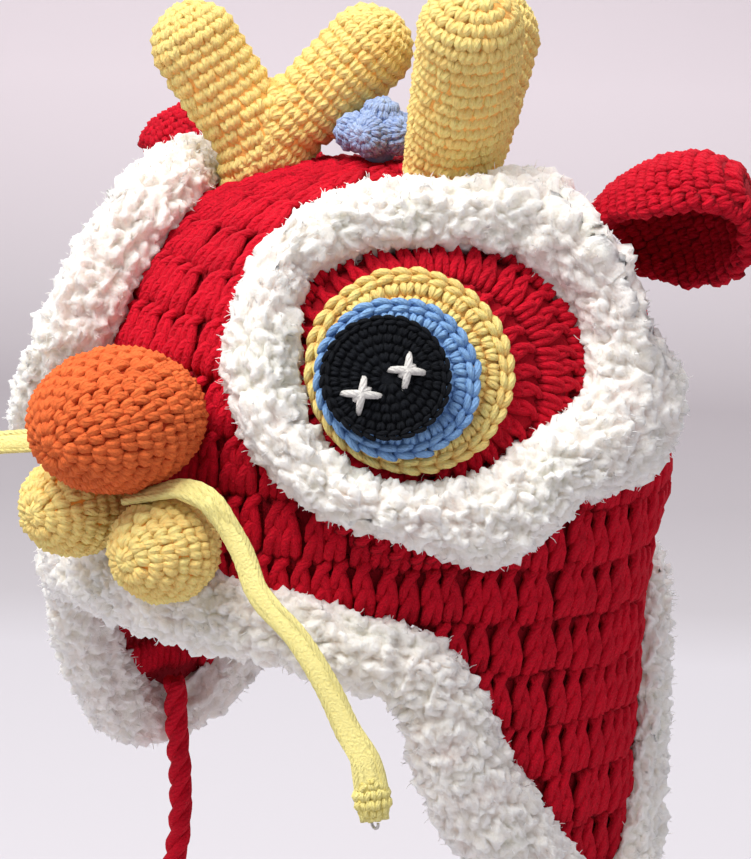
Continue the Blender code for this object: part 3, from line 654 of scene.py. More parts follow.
def fur_material(name, scattered, scale):
    """White fleece: near white hair, with painted shade, a little grey-green and pink, in the
    creases between its tufts.
    """
    shader = Shader(name)
    place = shader.place()
    tone_and_shade = shader.attribute("tone_and_shade", "Fac")
    patches = shader.noise(place, 60.0, 2.0)
    fuzz = shader.noise(place, 900.0, 5.0)
    # Painted shade colour for the creases, grey-green in some patches and pink in others
    depth = shader.mix(shader.ramp(patches, 0.35, 0.65), linear((0.84, 0.84, 0.78)),
                       linear((0.88, 0.82, 0.80)))
    return shader.finish({
        "Base Color": shader.mix(tone_and_shade, depth, linear((0.985, 0.972, 0.945))),
        "Normal": shader.bump(fuzz, 0.7, 0.0010),
        "Roughness": 1.0,
        "Specular IOR Level": 0.05,
        "Sheen Weight": 0.3,
        "Subsurface Weight": scattered,
        "Subsurface Radius": (1.0, 0.95, 0.9),
        "Subsurface Scale": scale,
    })


def wire_material():
    """Bright steel wire with fine drawing marks."""
    shader = Shader("whisker_wire_steel")
    marks = shader.noise(shader.place(), 2500.0, 3.0)
    return shader.finish({
        "Base Color": shader.mix(marks, linear((0.62, 0.61, 0.60)), linear((0.86, 0.85, 0.83))),
        "Roughness": shader.ramp(marks, -1.2, 2.2),
        "Metallic": 1.0,
    })


RED = yarn_material("red_acrylic_yarn", "red", sheen=0.2)
YELLOW = yarn_material("yellow_cotton_yarn", "yellow", sheen=0.5, mottle=0.12)
BLUE = yarn_material("blue_cotton_yarn", "blue", mottle=0.8)
LIGHT_BLUE = yarn_material("light_blue_cotton_yarn", "light_blue", mottle=0.9)
BLACK = yarn_material("black_cotton_yarn", "black", sheen=0.05)
ORANGE = yarn_material("orange_cotton_yarn", "orange", mottle=0.3)
PALE = yarn_material("pale_yellow_yarn", "pale", sheen=0.5, mottle=0.1)
WHITE = yarn_material("white_embroidery_yarn", "white", mottle=0.1)
FUR = fur_material("white_fleece", 0.9, 0.0036)
HAIR = fur_material("white_fleece_hair", 1.0, 0.0010)
STEEL = wire_material()


def settle(thing, node=None):
    """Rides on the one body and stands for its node."""
    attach(thing, "root")
    if node:
        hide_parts(node)


def settle_yarn(weave, material, node):
    """The same for a node's yarn, which takes the node's name."""
    settle(weave.finish(node + "_yarn", material), node)


# Camera and studio

def make_camera():
    """The camera, turned and rolled as the photograph's was."""
    azimuth, elevation = math.radians(CAMERA_AZIMUTH), math.radians(CAMERA_ELEVATION)
    roll = math.radians(CAMERA_ROLL)
    back = Vector((math.sin(azimuth) * math.cos(elevation),
                   -math.cos(azimuth) * math.cos(elevation), math.sin(elevation)))
    right = Vector((math.cos(azimuth), math.sin(azimuth), 0.0))
    up = back.cross(right)
    across = right * math.cos(roll) + up * math.sin(roll)
    upward = up * math.cos(roll) - right * math.sin(roll)
    data = bpy.data.cameras.new("camera")
    data.lens = CAMERA_LENS
    data.sensor_width = 36.0
    data.shift_x = CAMERA_SHIFT
    camera = put("camera", data)
    turned = Matrix((across, upward, back)).transposed().to_4x4()
    camera.matrix_world = Matrix.Translation(CAMERA_TARGET + back * CAMERA_DISTANCE) @ turned
    bpy.context.scene.camera = camera


# Sweep: the floor's height, the half width, where it starts, bends and how far it rises
FLOOR_HEIGHT = -0.345
SWEEP_HALF_WIDTH = 4.0
SWEEP_START = -3.0
SWEEP_BEND = 1.6
SWEEP_RISE = 1.2
SWEEP_TOP = 4.5
LAMP_TARGET = Vector((0.0, 0.0, 0.02))
SKY_COLOUR = (0.93, 0.92, 0.95)
SKY_STRENGTH = 0.42
# Area lamps. Columns: name, place, size, watts, colour
STUDIO_LIGHTS = (
    ("key", (-0.20, -0.80, 1.75), 1.2, 52.0, (1.0, 0.98, 0.95)),
    ("fill", (1.35, -0.35, 0.75), 1.3, 2.5, (1.0, 0.97, 0.98)),
    ("left", (-1.25, -0.75, 0.65), 1.0, 2.5, (0.97, 0.98, 1.0)),
    ("back", (-0.35, 1.25, 1.30), 1.0, 14.0, (1.0, 1.0, 1.0)),
)
# Paper of the sweep, with painted light and shade that change with the reach behind the hat.
# Columns: reach behind the hat in m, colour in sRGB
PAPER_PAINTED_LIGHT = (
    (0.86, (0.78, 0.77, 0.79)),
    (0.98, (0.725, 0.71, 0.725)),
    (1.25, (0.70, 0.68, 0.695)),
    (1.60, (0.715, 0.69, 0.705)),
    (1.90, (0.85, 0.825, 0.84)),
    (2.30, (1.0, 0.96, 0.98)),
)


def make_sweep():
    """A pale floor that bends up behind the hat."""
    azimuth = math.radians(CAMERA_AZIMUTH)
    away = Vector((-math.sin(azimuth), math.cos(azimuth), 0.0))
    side = Vector((math.cos(azimuth), math.sin(azimuth), 0.0))
    profile = [(SWEEP_START, 0.0), (SWEEP_BEND, 0.0)]
    for step in range(1, 13):
        angle = math.pi / 2 * step / 12
        profile.append((SWEEP_BEND + SWEEP_RISE * math.sin(angle),
                        SWEEP_RISE * (1.0 - math.cos(angle))))
    profile.append((SWEEP_BEND + SWEEP_RISE, SWEEP_TOP))
    points = []
    for reach, height in profile:
        for half in (-SWEEP_HALF_WIDTH, SWEEP_HALF_WIDTH):
            points.append(away * reach + side * half + Vector((0, 0, FLOOR_HEIGHT + height)))
    faces = [(2 * k, 2 * k + 1, 2 * k + 3, 2 * k + 2) for k in range(len(profile) - 1)]
    mesh = bpy.data.meshes.new("studio_sweep")
    mesh.from_pydata(points, [], faces)
    mesh.shade_smooth()
    mesh.materials.append(paper_material(away))
    put("studio_sweep", mesh)


def paper_material(away):
    """Paper whose colour, with painted light and shade, changes with the distance behind the
    hat.
    """
    shader = Shader("studio_paper_painted_light")
    behind = shader.node("ShaderNodeVectorMath", {0: shader.place(), 1: away},
                         operation="DOT_PRODUCT").outputs["Value"]
    colour = linear(PAPER_PAINTED_LIGHT[0][1])
    for (low, _), (high, paint) in zip(PAPER_PAINTED_LIGHT, PAPER_PAINTED_LIGHT[1:]):
        colour = shader.mix(shader.ramp(behind, low, high), colour, linear(paint))
    return shader.finish({"Base Color": colour, "Roughness": 0.9})


def make_lamps():
    for name, place, size, watts, colour in STUDIO_LIGHTS:
        light = bpy.data.lights.new(name, "AREA")
        light.size = size
        light.energy = watts
        light.color = colour
        lamp = put(name, light)
        lamp.location = place
        aim = LAMP_TARGET - Vector(place)
        lamp.rotation_euler = aim.to_track_quat("-Z", "Y").to_euler()


def make_sky():
    world = bpy.data.worlds.new("studio_sky")
    world.use_nodes = True
    sky = world.node_tree.nodes["Background"]
    sky.inputs["Color"].default_value = linear(SKY_COLOUR)
    sky.inputs["Strength"].default_value = SKY_STRENGTH
    bpy.context.scene.world = world
    bpy.context.scene.view_settings.view_transform = "Standard"


# Ties: three plies laid round each route, and a knot

def make_tie(side):
    """One twisted cord with its knot."""
    route = even_route(TIE_ROUTES[side], 110)
    length = float(np.sum(np.linalg.norm(np.diff(route, axis=0), axis=1)))
    along = unit(np.gradient(route, axis=0))
    first = unit(np.cross(along, (0.0, 1.0, 0.0)))
    second = np.cross(along, first)
    reach = np.linspace(0.0, length, len(route))
    throw = TIE_DIAMETER / 2.0 - TIE_PLY
    weave = Weave()
    for ply in range(3):
        angle = (2 * np.pi * (reach / TIE_PITCH + ply / 3.0))[:, None]
        swell = 1.0 + 0.10 * np.sin(2 * np.pi * reach / TIE_SWELL_LENGTH + ply)
        path = route + (first * np.cos(angle) + second * np.sin(angle)) * throw
        tube(weave, path, TIE_PLY * swell, (0.3, 1.0, 0.0), 8, 0.9 + 0.05 * ply)
    tie = weave.finish("tie_%s_cord" % side, RED)
    knot = make_knot(side, route[-1], along[-1])
    settle(tie, "tie_" + side)
    settle(knot, "tie_knot_" + side)


def make_knot(side, end, along):
    """An overhand knot that the cord runs into, with two short ends below it."""
    centre = end + along * KNOT_DROP
    neck = np.linspace(end - along * KNOT_OVERLAP, centre, 8)
    turn = np.linspace(0.0, 2 * np.pi, 61)
    x = (np.sin(turn) + 2.0 * np.sin(2 * turn)) * KNOT_SIZE
    y = (np.cos(turn) - 2.0 * np.cos(2 * turn)) * KNOT_SIZE
    z = -np.sin(3 * turn) * KNOT_RISE
    weave = Weave()
    tube(weave, neck, np.linspace(*KNOT_NECK_RADII, 8), (0.3, 1.0, 0.0), 8, 0.9)
    loop = centre + np.stack((x, y, z), axis=1)
    tube(weave, loop[:-1], KNOT_YARN, (0.2, 0.3, 1.0), 8, 0.95)
    for lean in KNOT_LEANS:
        tail = centre + np.outer(np.linspace(0.0, KNOT_TAIL, 8),
                                 (lean * 0.35, 0.1 * lean, -1.0))
        tube(weave, tail, np.linspace(*KNOT_TAIL_RADII, 8), (0.0, 1.0, 0.0), 6, 0.85)
    return weave.finish("tie_knot_%s_yarn" % side, RED)


# The crown in rounds of double crochet

def crown_profile(turns):
    """Points from the apex down to the low line of the rounds, at every turn."""
    rise = np.linspace(np.pi / 2, 0.0, 140)
    heights = CROWN_HEIGHT * np.sin(rise) ** (2.0 / CROWN_POWER)
    heights = np.broadcast_to(heights, (len(turns), len(rise)))
    lows = DC_LOW_LINE + DC_TILT * np.cos(turns)
    skirt = lows[:, None] * np.linspace(0.0, 1.0, 21)[None, 1:]
    heights = np.concatenate((heights, skirt), axis=1)
    return crown_point(turns[:, None], heights)


def crown_rounds():
    """Places, width and height of every double crochet above the low line."""
    turns = np.linspace(-np.pi, np.pi, 720, endpoint=False)
    profile = crown_profile(turns)
    reach = reach_along(profile)
    lines = np.empty((DC_ROWS + 1, len(turns), 3))
    for k in range(len(turns)):
        goals = reach[k, -1] * np.arange(DC_ROWS + 1) / DC_ROWS
        lines[:, k] = read_line(goals, reach[k], profile[k])
    rounds = []
    for low, high in zip(lines[1:], lines):
        middle = low * 0.5 + high * 0.5
        rounds.append(ring_places(middle, crown_normal(middle), high - low, DC_WIDTH))
    return rounds


def flap_rounds():
    """The same for the rows below the low line, on the two flaps."""
    rounds = []
    for side in (LEFT, RIGHT):
        for row in range(DC_FLAP_ROWS):
            turns = side * np.radians(np.arange(*DC_FLAP_TURNS, DC_FLAP_TURN))
            base = DC_LOW_LINE + DC_TILT * np.cos(turns)
            middle = base - DC_FLAP_ROW * (row + 0.5)
            points = crown_point(turns, middle)
            out = crown_normal(points)
            up = square_to(np.array([0.0, 0.0, 1.0]), out)
            rounds.append(((points, np.cross(up, out), up, out), DC_WIDTH,
                           np.full(len(turns), DC_FLAP_ROW)))
    return rounds


def within_edge(places, height):
    """Which stitches lie on the knitted wall, and not below its edge."""
    middle = places[0]
    turn = np.arctan2(middle[:, 0] / half_width_at(middle[:, 0], middle[:, 2]),
                      -middle[:, 1] / CROWN_HALF_DEPTH)
    return middle[:, 2] - 0.05 * height > edge_height(turn) - EDGE_ALLOWANCE


def make_crown():
    """Double crochet outside, plain posts inside, on the knitted wall."""
    weave = core("crown", DC_CORE_DEPTH, tone_and_shade=0.30)
    for places, width, height in crown_rounds() + flap_rounds():
        keep = within_edge(places, height)
        middle, across, up, out = [array[keep] for array in places]
        size = height[keep]
        low = middle - up * (size * 0.5)[:, None]
        foot = low - out * DC_FOOT_DEPTH
        work(weave, (foot, across, up, out), DOUBLE_CROCHET, width, size * DC_OVERLAP, DC_YARN,
             steps=6, sides=5, jitter=DC_SWAY)
        inner = low - out * (WALL - POST_FOOT_RISE)
        work(weave, (inner, -across, up, -out), PLAIN_POST, width, size, POST_YARN,
             steps=4, sides=4)
    settle(weave.finish("crown_double_crochet", RED), "crown")


# Stuffed pieces in rounds of single crochet

def ellipsoid_rounds(centre, half, turned, width, row):
    """Rounds of stitches about an ellipsoid's front pole, which points along -Y."""
    polar = np.linspace(0.0, np.pi, 400)
    curve = np.stack((half[0] * np.sin(polar), -half[1] * np.cos(polar)), axis=1)
    reach = reach_along(curve)
    rows = int(round(reach[-1] / row))
    theta = circle(240)
    found = []
    for k in range(rows):
        at = np.interp((k + 0.5) / rows * reach[-1], reach, polar)
        ahead = np.interp((k + 1.0) / rows * reach[-1], reach, polar)
        before = np.interp(k / rows * reach[-1], reach, polar)
        points, low, high = [np.stack((
            half[0] * np.sin(angle) * np.cos(theta),
            np.full(theta.shape, -half[1] * np.cos(angle)),
            half[2] * np.sin(angle) * np.sin(theta)), axis=1) for angle in (at, ahead, before)]
        normals = unit(points / np.square(half))
        points, low, high, normals = [array @ turned.T for array in (points, low, high, normals)]
        found.append(ring_places(points + centre, normals, low - high, width))
    return found


def work_round(weave, places, width, height, yarn):
    """One round of single crochet, sunk a little into the core."""
    middle, across, up, out = places
    foot = middle - up * (height * 0.5)[:, None] - out * yarn * SC_SINK
    work(weave, (foot, across, up, out), SINGLE_CROCHET, width, height * SC_OVERLAP, yarn,
         steps=5, sides=5, jitter=SC_SWAY)


def work_ellipsoid(weave, centre, half, turned, stitch):
    """Single crochet in rounds all over an ellipsoid."""
    width, row, yarn = stitch
    for ring in ellipsoid_rounds(centre, half, turned, width, row):
        work_round(weave, *ring, yarn)


def make_ball(node, material, stitch, droop=0.0):
    """A stuffed ovoid in rounds about its front pole, which droops by an angle."""
    low, high = [np.array(corner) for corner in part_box(node)]
    centre, half = (low + high) / 2.0, (high - low) / 2.0
    angle = math.radians(droop)
    turned = np.array(((1.0, 0.0, 0.0), (0.0, math.cos(angle), -math.sin(angle)),
                       (0.0, math.sin(angle), math.cos(angle))))
    weave = core(node, stitch[-1] * 0.8, tone_and_shade=0.1)
    work_ellipsoid(weave, centre, half, turned, stitch)
    settle_yarn(weave, material, node)


# Antlers: rounds about each arm, seated on the solid by rays

ANTLERS = {
    "left": {
        "root": (0.0300, -0.0060, 0.116),
        "front": (0.0483, -0.0235, 0.1600),
        "back": (0.0203, 0.0205, 0.1545),
        "radius": 0.0152,
    },
    "right": {
        "root": (-0.0401, -0.0124, 0.114),
        "front": (-0.0571, -0.0270, 0.1477),
        "back": (-0.0181, 0.0090, 0.1480),
        "radius": 0.0138,
    },
}
ANTLER_RAYS = 40
ANTLER_RAY_LENGTH = 0.0185
# How far the rounds of an arm go on below its root, and the lowest stitch over the solid's foot
ANTLER_OVERLAP = 0.010
ANTLER_FOOT = 0.001


def cast_ring(surface, middle, first, second):
    """Where rays from a middle leave the surface, in the plane of two unit vectors."""
    points, normals = [], []
    for angle in circle(ANTLER_RAYS):
        ray = first * math.cos(angle) + second * math.sin(angle)
        start = Vector(middle + ray * ANTLER_RAY_LENGTH)
        hit, normal, _, _ = surface.ray_cast(start, Vector(-ray), ANTLER_RAY_LENGTH)
        if hit is None:
            hit, normal = Vector(middle), Vector(ray)
        if normal.dot(Vector(ray)) < 0.0:
            normal = -normal
        points.append(hit)
        normals.append(normal)
    return np.array(points), np.array(normals)


def make_antler(side):
    """A stuffed antler: rounds up each arm, closed over its lobe."""
    sizes = ANTLERS[side]
    width, row_height, yarn = ANTLER_STITCH
    root = np.array(sizes["root"])
    node = "antler_" + side
    surface = tree(node)
    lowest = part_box(node)[0].z + ANTLER_FOOT
    weave = core(node, yarn * 0.45, tone_and_shade=0.35)
    front, back = np.array(sizes["front"]), np.array(sizes["back"])
    for lobe, other in ((front, back), (back, front)):
        axis = unit(lobe - root)
        first = unit(np.cross(axis, (0.0, 1.0, 0.15)))
        second = np.cross(axis, first)
        ups = np.tile(axis, (ANTLER_RAYS, 1)) * row_height
        length = np.linalg.norm(lobe - root) + ANTLER_OVERLAP
        for row in range(int(round(length / row_height))):
            middle = lobe - axis * (row_height * (row + 0.5))
            line, normals = cast_ring(surface, middle, first, second)
            places, spacing, _ = ring_places(line, normals, ups, width)
            keep = owned(places[0], root, lobe, other) & (places[0][:, 2] > lowest)
            places = [array[keep] for array in places]
            work_round(weave, places, spacing, np.full(keep.sum(), row_height), yarn)
        work_lobe(weave, lobe, (first, second, axis), sizes["radius"])
    settle_yarn(weave, YELLOW, node)


def work_lobe(weave, lobe, axes, radius):
    """The rounds that close over an arm's round end."""
    width, row_height, yarn = ANTLER_STITCH
    first, second, axis = axes
    caps = int(round(radius * math.pi / 2 / row_height))
    theta = circle(120)[:, None]
    around = first * np.cos(theta) + second * np.sin(theta)
    for row in range(caps):
        polar = math.pi / 2 * (1.0 - (row + 0.5) / caps)
        ray = around * math.sin(polar) + axis * math.cos(polar)
        up = axis * math.sin(polar) - around * math.cos(polar)
        work_round(weave, *ring_places(lobe + ray * radius, ray, up * row_height, width), yarn)


def owned(points, root, lobe, other):
    """Which points lie nearer to this arm's line than to the other arm's."""

    def distance(tip):
        axis = tip - root
        share = np.clip((points - root) @ axis / (axis @ axis), 0.0, 1.0)
        return np.linalg.norm(points - root - share[:, None] * axis, axis=1)

    return distance(lobe) <= distance(other) + 0.0006


# Ears: rows square to each ear's length, round the back of the cup, its lips and its hollow

EAR_AXES = {"left": (0.80, 0.26, 0.54), "right": (-0.82, 0.36, 0.44)}
EAR_CORE_DEPTH = 0.0009


def make_ear(side):
    """A cupped ear, its rows longer where the surface slants away from them."""
    node = "ear_" + side
    width, row, yarn = EAR_STITCH
    axis = unit(np.array(EAR_AXES[side]))
    weave = core(node, EAR_CORE_DEPTH, tone_and_shade=0.30)
    for line, normals in slices(node, axis, row):
        slant = np.sqrt(np.maximum(1.0 - (normals @ axis) ** 2, 0.25))
        ups = np.outer(row / slant, axis)
        work_round(weave, *ring_places(line, normals, ups, width), yarn)
    settle_yarn(weave, RED, node)


# Eyes: a radial red patch, three discs and the stars

EYE_HEIGHTS = {"left": 0.066, "right": 0.060}
EYE_TURNS = {"left": 54.0, "right": -64.0}
# Stacked discs. Columns: name, radius, centre across and up in mm, yarn radius in mm, material
DISCS = (
    ("yellow", 28.4, -9.3, 2.2, 1.15, YELLOW),
    ("blue", 21.5, -13.6, -0.5, 1.05, BLUE),
    ("black", 15.9, -17.0, -0.8, 0.70, BLACK),
)
# Heights of the patch's and the discs' faces over the crown
PATCH_FACE = 0.0038
DISC_FACES = {"yellow": 0.0082, "blue": 0.0126, "black": 0.0170}
EYE_SINK = 0.6
EYE_SWAY = 0.04
# The patch: stitch width, radius of its yarn, and rounds with middle radius and stitch height
PATCH_WIDTH = 0.0049
PATCH_YARN = 0.0013
PATCH_CORE_DEPTH = 0.0007
PATCH_ROUNDS = ((0.0085, 0.0120), (0.0215, 0.0145), (0.0350, 0.0145), (0.0450, 0.0100))
# Rounds of a disc, in radii of its yarn: depth of its core, how far its rim's chain lies from
# its edge, the chain's width and height, and the same for the rounds within it
DISC_CORE_DEPTH = 0.9
CHAIN_INSET = 2.9
CHAIN_SIZE = (3.2, 4.1)
CHAIN_STEP = 3.1
DISC_SIZE = (3.3, 3.4)
DISC_STEP = 3.2
# Radius in m of the smallest round
DISC_HOLE = 0.0015
# Stars on the black disc, from its middle: across and up in mm, half size in mm
STARS = ((-6.0, -3.6, 4.6), (4.6, 1.4, 4.4))
# The arms of a star: angle in degrees and share of its half size
STAR_ARMS = ((78.0, 1.0), (-8.0, 1.0), (35.0, 0.5))
STAR_YARN = 0.00118
STAR_LIFT = 0.0013
STAR_SINK = 0.0022
# Rays that find the crown: where they start over it, how far they go and how many steps
SEAT_START = 0.06
SEAT_REACH = 0.16
SEAT_STEPS = 80


class EyeFrame:
    """The flat frame square to the crown at an eye, and places seated on the crown."""

    def __init__(self, side):
        hand = SIDES[side]
        self.centre = crown_point(np.radians(EYE_TURNS[side]), np.array(EYE_HEIGHTS[side]))
        self.out = crown_normal(self.centre)
        self.across = unit(np.cross((0.0, 0.0, 1.0), self.out)) * hand
        self.up = np.cross(self.out, self.across) * hand

    def place(self, across, up, height):
        """Places at a height over the crown, and the crown's normals there."""
        across, up = np.atleast_1d(across), np.atleast_1d(up)
        start = (self.centre + self.out * SEAT_START + self.across * across[:, None]
                 + self.up * up[:, None])
        far = np.full(len(across), SEAT_REACH)
        for reach in np.linspace(SEAT_REACH, 0.002, SEAT_STEPS):
            inside = level(start - self.out * reach) < 0.0
            far = np.where(inside, reach, far)
        near = far - 0.004
        for _ in range(24):
            middle = (near + far) / 2.0
            inside = level(start - self.out * middle[:, None]) < 0.0
            far = np.where(inside, middle, far)
            near = np.where(inside, near, middle)
        foot = start - self.out * far[:, None]
        normals = crown_normal(foot)
        return foot + normals * height, normals


def eye_round(weave, eye, face, middle, radius, size, yarn, template):
    """One round of stitches about a middle, standing radially or as a chain along it."""
    width, height = size
    spacing = height if template is CHAIN else width
    count = max(int(round(2 * math.pi * radius / spacing)), 5)
    angles = 2 * np.pi * (np.arange(count) + rng.uniform(0.0, 1.0)) / count
    ray = np.stack((np.cos(angles), np.sin(angles)), axis=1)
    spot = np.array(middle) + ray * radius
    points, normals = eye.place(spot[:, 0], spot[:, 1], face - yarn * EYE_SINK)
    radial = square_to(ray[:, :1] * eye.across + ray[:, 1:] * eye.up, normals)
    tangent = np.cross(normals, radial)
    if template is CHAIN:
        foot = points - tangent * height * 0.5
        places = (foot, radial, tangent, normals)
    else:
        foot = points - radial * height * 0.5
        places = (foot, np.cross(radial, normals), radial, normals)
    work(weave, places, template, width, height, yarn, steps=6, sides=5, jitter=EYE_SWAY)


def make_eye(side):
    """The patch, the three discs and the stars of one eye."""
    eye = EyeFrame(side)
    patch = core("eye_patch_" + side, PATCH_CORE_DEPTH, tone_and_shade=0.55)
    for radius, height in PATCH_ROUNDS:
        eye_round(patch, eye, PATCH_FACE, (0.0, 0.0), radius, (PATCH_WIDTH, height), PATCH_YARN,
                  DOUBLE_CROCHET)
    settle_yarn(patch, RED, "eye_patch_" + side)
    for name, radius, across, up, thick, material in DISCS:
        node = "eye_%s_%s" % (name, side)
        face = DISC_FACES[name]
        middle = (across / 1000.0, up / 1000.0)
        yarn = thick / 1000.0
        weave = core(node, yarn * DISC_CORE_DEPTH, tone_and_shade=0.7)
        inner = radius / 1000.0 - yarn * CHAIN_INSET
        eye_round(weave, eye, face, middle, inner, yarn * np.array(CHAIN_SIZE), yarn, CHAIN)
        inner -= yarn * CHAIN_STEP
        while inner > DISC_HOLE:
            eye_round(weave, eye, face, middle, inner, yarn * np.array(DISC_SIZE), yarn,
                      SINGLE_CROCHET)
            inner -= yarn * DISC_STEP
        settle_yarn(weave, material, node)
    make_stars(side, eye)


def make_stars(side, eye):
    """Four-armed stars of white yarn worked into the black disc."""
    _, _, middle_across, middle_up, _, _ = DISCS[-1]
    weave = Weave()
    for across, up, half in STARS:
        for angle, share in STAR_ARMS:
            steps = np.linspace(-1.0, 1.0, 9)
            reach = half * share * steps
            line_a = middle_across + across + reach * math.cos(math.radians(angle))
            line_u = middle_up + up + reach * math.sin(math.radians(angle))
            points, normals = eye.place(line_a / 1000.0, line_u / 1000.0, DISC_FACES["black"])
            lift = STAR_LIFT - STAR_SINK * np.abs(steps) ** 3
            path = points + normals * lift[:, None]
            radii = STAR_YARN * (1.0 - 0.35 * steps ** 2)
            tube(weave, path, radii, eye.out, 7, 1.0)
    settle(weave.finish("eye_stars_" + side, WHITE))


# Whiskers: flat strips of strands side by side, with a fuller end

def whisker_half_width(share):
    """Half the width at a share of the length: a waist, and fuller near the end."""
    waist = 1.0 - 0.16 * np.sin(np.pi * np.minimum(share / 0.86, 1.0))
    return WHISKER_WIDTH / 2.0 * (waist + 0.30 * np.exp(-((share - 0.93) / 0.06) ** 2))


def make_whisker(side):
    """A flat strip whose face turns from the nose's underside to the hat's outside."""
    route = even_route(WHISKER_ROUTES[side], WHISKER_STEPS)
    along = unit(np.gradient(route, axis=0))
    # The hat's outside, level and turned a little to the side
    out = unit(route * (1.0, 0.8, 0.0))
    starts = unit(np.array(WHISKER_START_FACES))
    share = np.linspace(0.0, 14.0, WHISKER_STEPS)
    for axis in range(3):
        early = np.interp(share, np.arange(len(starts)), starts[:, axis])
        blend = smooth(share - (len(starts) - 1.0))
        out[:, axis] = early * (1.0 - blend) + out[:, axis] * blend
    wide = unit(np.cross(along, out))
    thick = np.cross(wide, along)
    shares = np.linspace(0.0, 1.0, WHISKER_STEPS)
    half = whisker_half_width(shares)
    weave = core("whisker_" + side, 0.0, tone_and_shade=1.0)
    reach = shares * np.linalg.norm(np.diff(route, axis=0), axis=1).sum()
    for lane, radius in WHISKER_STRANDS:
        path = route + wide * (half * lane)[:, None]
        swell = 1.0 + 0.07 * np.sin(2 * np.pi * reach / WHISKER_STITCH + 9.0 * lane)
        tube(weave, path, radius * swell, thick[0], 7, 1.0)
    turned = np.stack((wide[-1], -along[-1], thick[-1]), axis=1)
    end = route[-1] - along[-1] * WHISKER_END_RISE
    work_ellipsoid(weave, end, WHISKER_END, turned, WHISKER_END_STITCH)
    settle_yarn(weave, PALE, "whisker_" + side)
    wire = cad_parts["whisker_wire_" + side]
    wire.data.materials.clear()
    wire.data.materials.append(STEEL)


# The cluster on top: bobbles worked in rounds

CLOUD_CENTRE = np.array((-0.0035, -0.0010, 0.1245))
CLOUD_CORE_DEPTH = 0.0008
# Bobbles, from the centre. Columns: x, y, z and radius in mm
CLOUD = (
    (-6.0, -4.6, 0.0, 6.0),
    (1.8, -6.6, -0.4, 6.2),
    (6.4, 0.0, 0.0, 6.0),
    (2.6, 6.4, 0.0, 6.0),
    (-5.5, 4.6, 0.0, 5.8),
    (0.4, 0.0, 4.6, 6.2),
)


def make_cloud():
    """The bobbles, each in rounds about a pole that points out of the cluster."""
    weave = core("top_cloud", CLOUD_CORE_DEPTH, tone_and_shade=0.45)
    for x, y, z, radius in CLOUD:
        centre = CLOUD_CENTRE + np.array((x, y, z)) / 1000.0
        pole = unit(np.array((x, y, z + 2.0)))
        first = unit(np.cross(pole, (0.3, 0.2, 1.0)))
        second = np.cross(pole, first)
        turned = np.stack((first, -pole, second), axis=1)
        half = np.full(3, radius / 1000.0)
        work_ellipsoid(weave, centre, half, turned, CLOUD_STITCH)
    settle_yarn(weave, LIGHT_BLUE, "top_cloud")


# Fur: a body of clumps and leaning tufts, sizes in mm, and fine hairs

CLUMP_SIZE = 4.6
TUFT_SIZE = 2.3
TUFT_REACH = 0.75
COMB_SIZE = 3.1
# Heights in m: the creases below the solid's face, clumps and tufts over them, and the lean
CREASE_DEPTH = 0.0022
CLUMP_HEIGHT = 0.0016
TUFT_HEIGHT = 0.0023
TUFT_LEAN = 0.0018
HAIR_LENGTH = 0.0024
HAIR_RADIUS = 0.00017
HAIR_ROOT = 0.0008
RIM_HAIRS = 3000
EYE_HAIRS = 1400
# Fleece fuller than the solid's ring. Columns: angle about the eye from the rear, extra
# outwards and inwards in mm
EYE_FLUFF = {
    "left": (
        (-180, 0.0, 2.6), (-100, 0.0, 1.6), (-30, 0.0, 0.6),
        (0, 2.5, 0.6), (15, 6.0, 0.6), (30, 9.5, 0.6),
        (45, 9.5, 0.6), (60, 5.0, 0.6), (78, 1.0, 0.6),
        (130, 0.0, 1.6), (180, 0.0, 2.6),
    ),
    "right": (
        (-180, 0.0, 1.5), (0, 0.0, 0.5), (180, 0.0, 1.5),
    ),
}


def scatter(points, faces, count):
    """Places spread evenly by area over a surface, and the face that each lies on."""
    a, b, c = [points[faces[:, k]] for k in range(3)]
    cross = np.cross(b - a, c - a)
    area = np.linalg.norm(cross, axis=1)
    picked = rng.choice(len(faces), count, p=area / area.sum())
    u, v = rng.uniform(0.0, 1.0, (2, count, 1))
    flip = (u + v) > 1.0
    u, v = np.where(flip, 1.0 - u, u), np.where(flip, 1.0 - v, v)
    spots = a[picked] + (b[picked] - a[picked]) * u + (c[picked] - a[picked]) * v
    return spots, picked


def divide(points, faces, times):
    """Every face of a closed mesh cut in four, as often as said."""
    for _ in range(times):
        edges = np.sort(np.concatenate((faces[:, (0, 1)], faces[:, (1, 2)], faces[:, (2, 0)])),
                        axis=1)
        pairs, which = np.unique(edges, axis=0, return_inverse=True)
        ab, bc, ca = len(points) + np.asarray(which).ravel().reshape(3, -1)
        points = np.concatenate((points, points[pairs].mean(axis=1)))
        a, b, c = faces.T
        faces = np.concatenate([np.stack(corners, axis=1) for corners in
                                ((a, ab, ca), (ab, b, bc), (ca, bc, c), (ab, bc, ca))])
    return points, faces


def tufts(points, size):
    """Height of the tufts of fleece at each point: 0 in a crease, 1 on top."""
    heights = []
    for point in points * 1000.0 / size:
        near = noise.voronoi(Vector(point))[0][0]
        heights.append(1.0 - min(near / TUFT_REACH, 1.0) ** 2)
    return np.array(heights)


def combed(points, size):
    """The way the pile leans at each point."""
    return np.array([noise.noise_vector(Vector(p)) for p in points * 1000.0 / size])


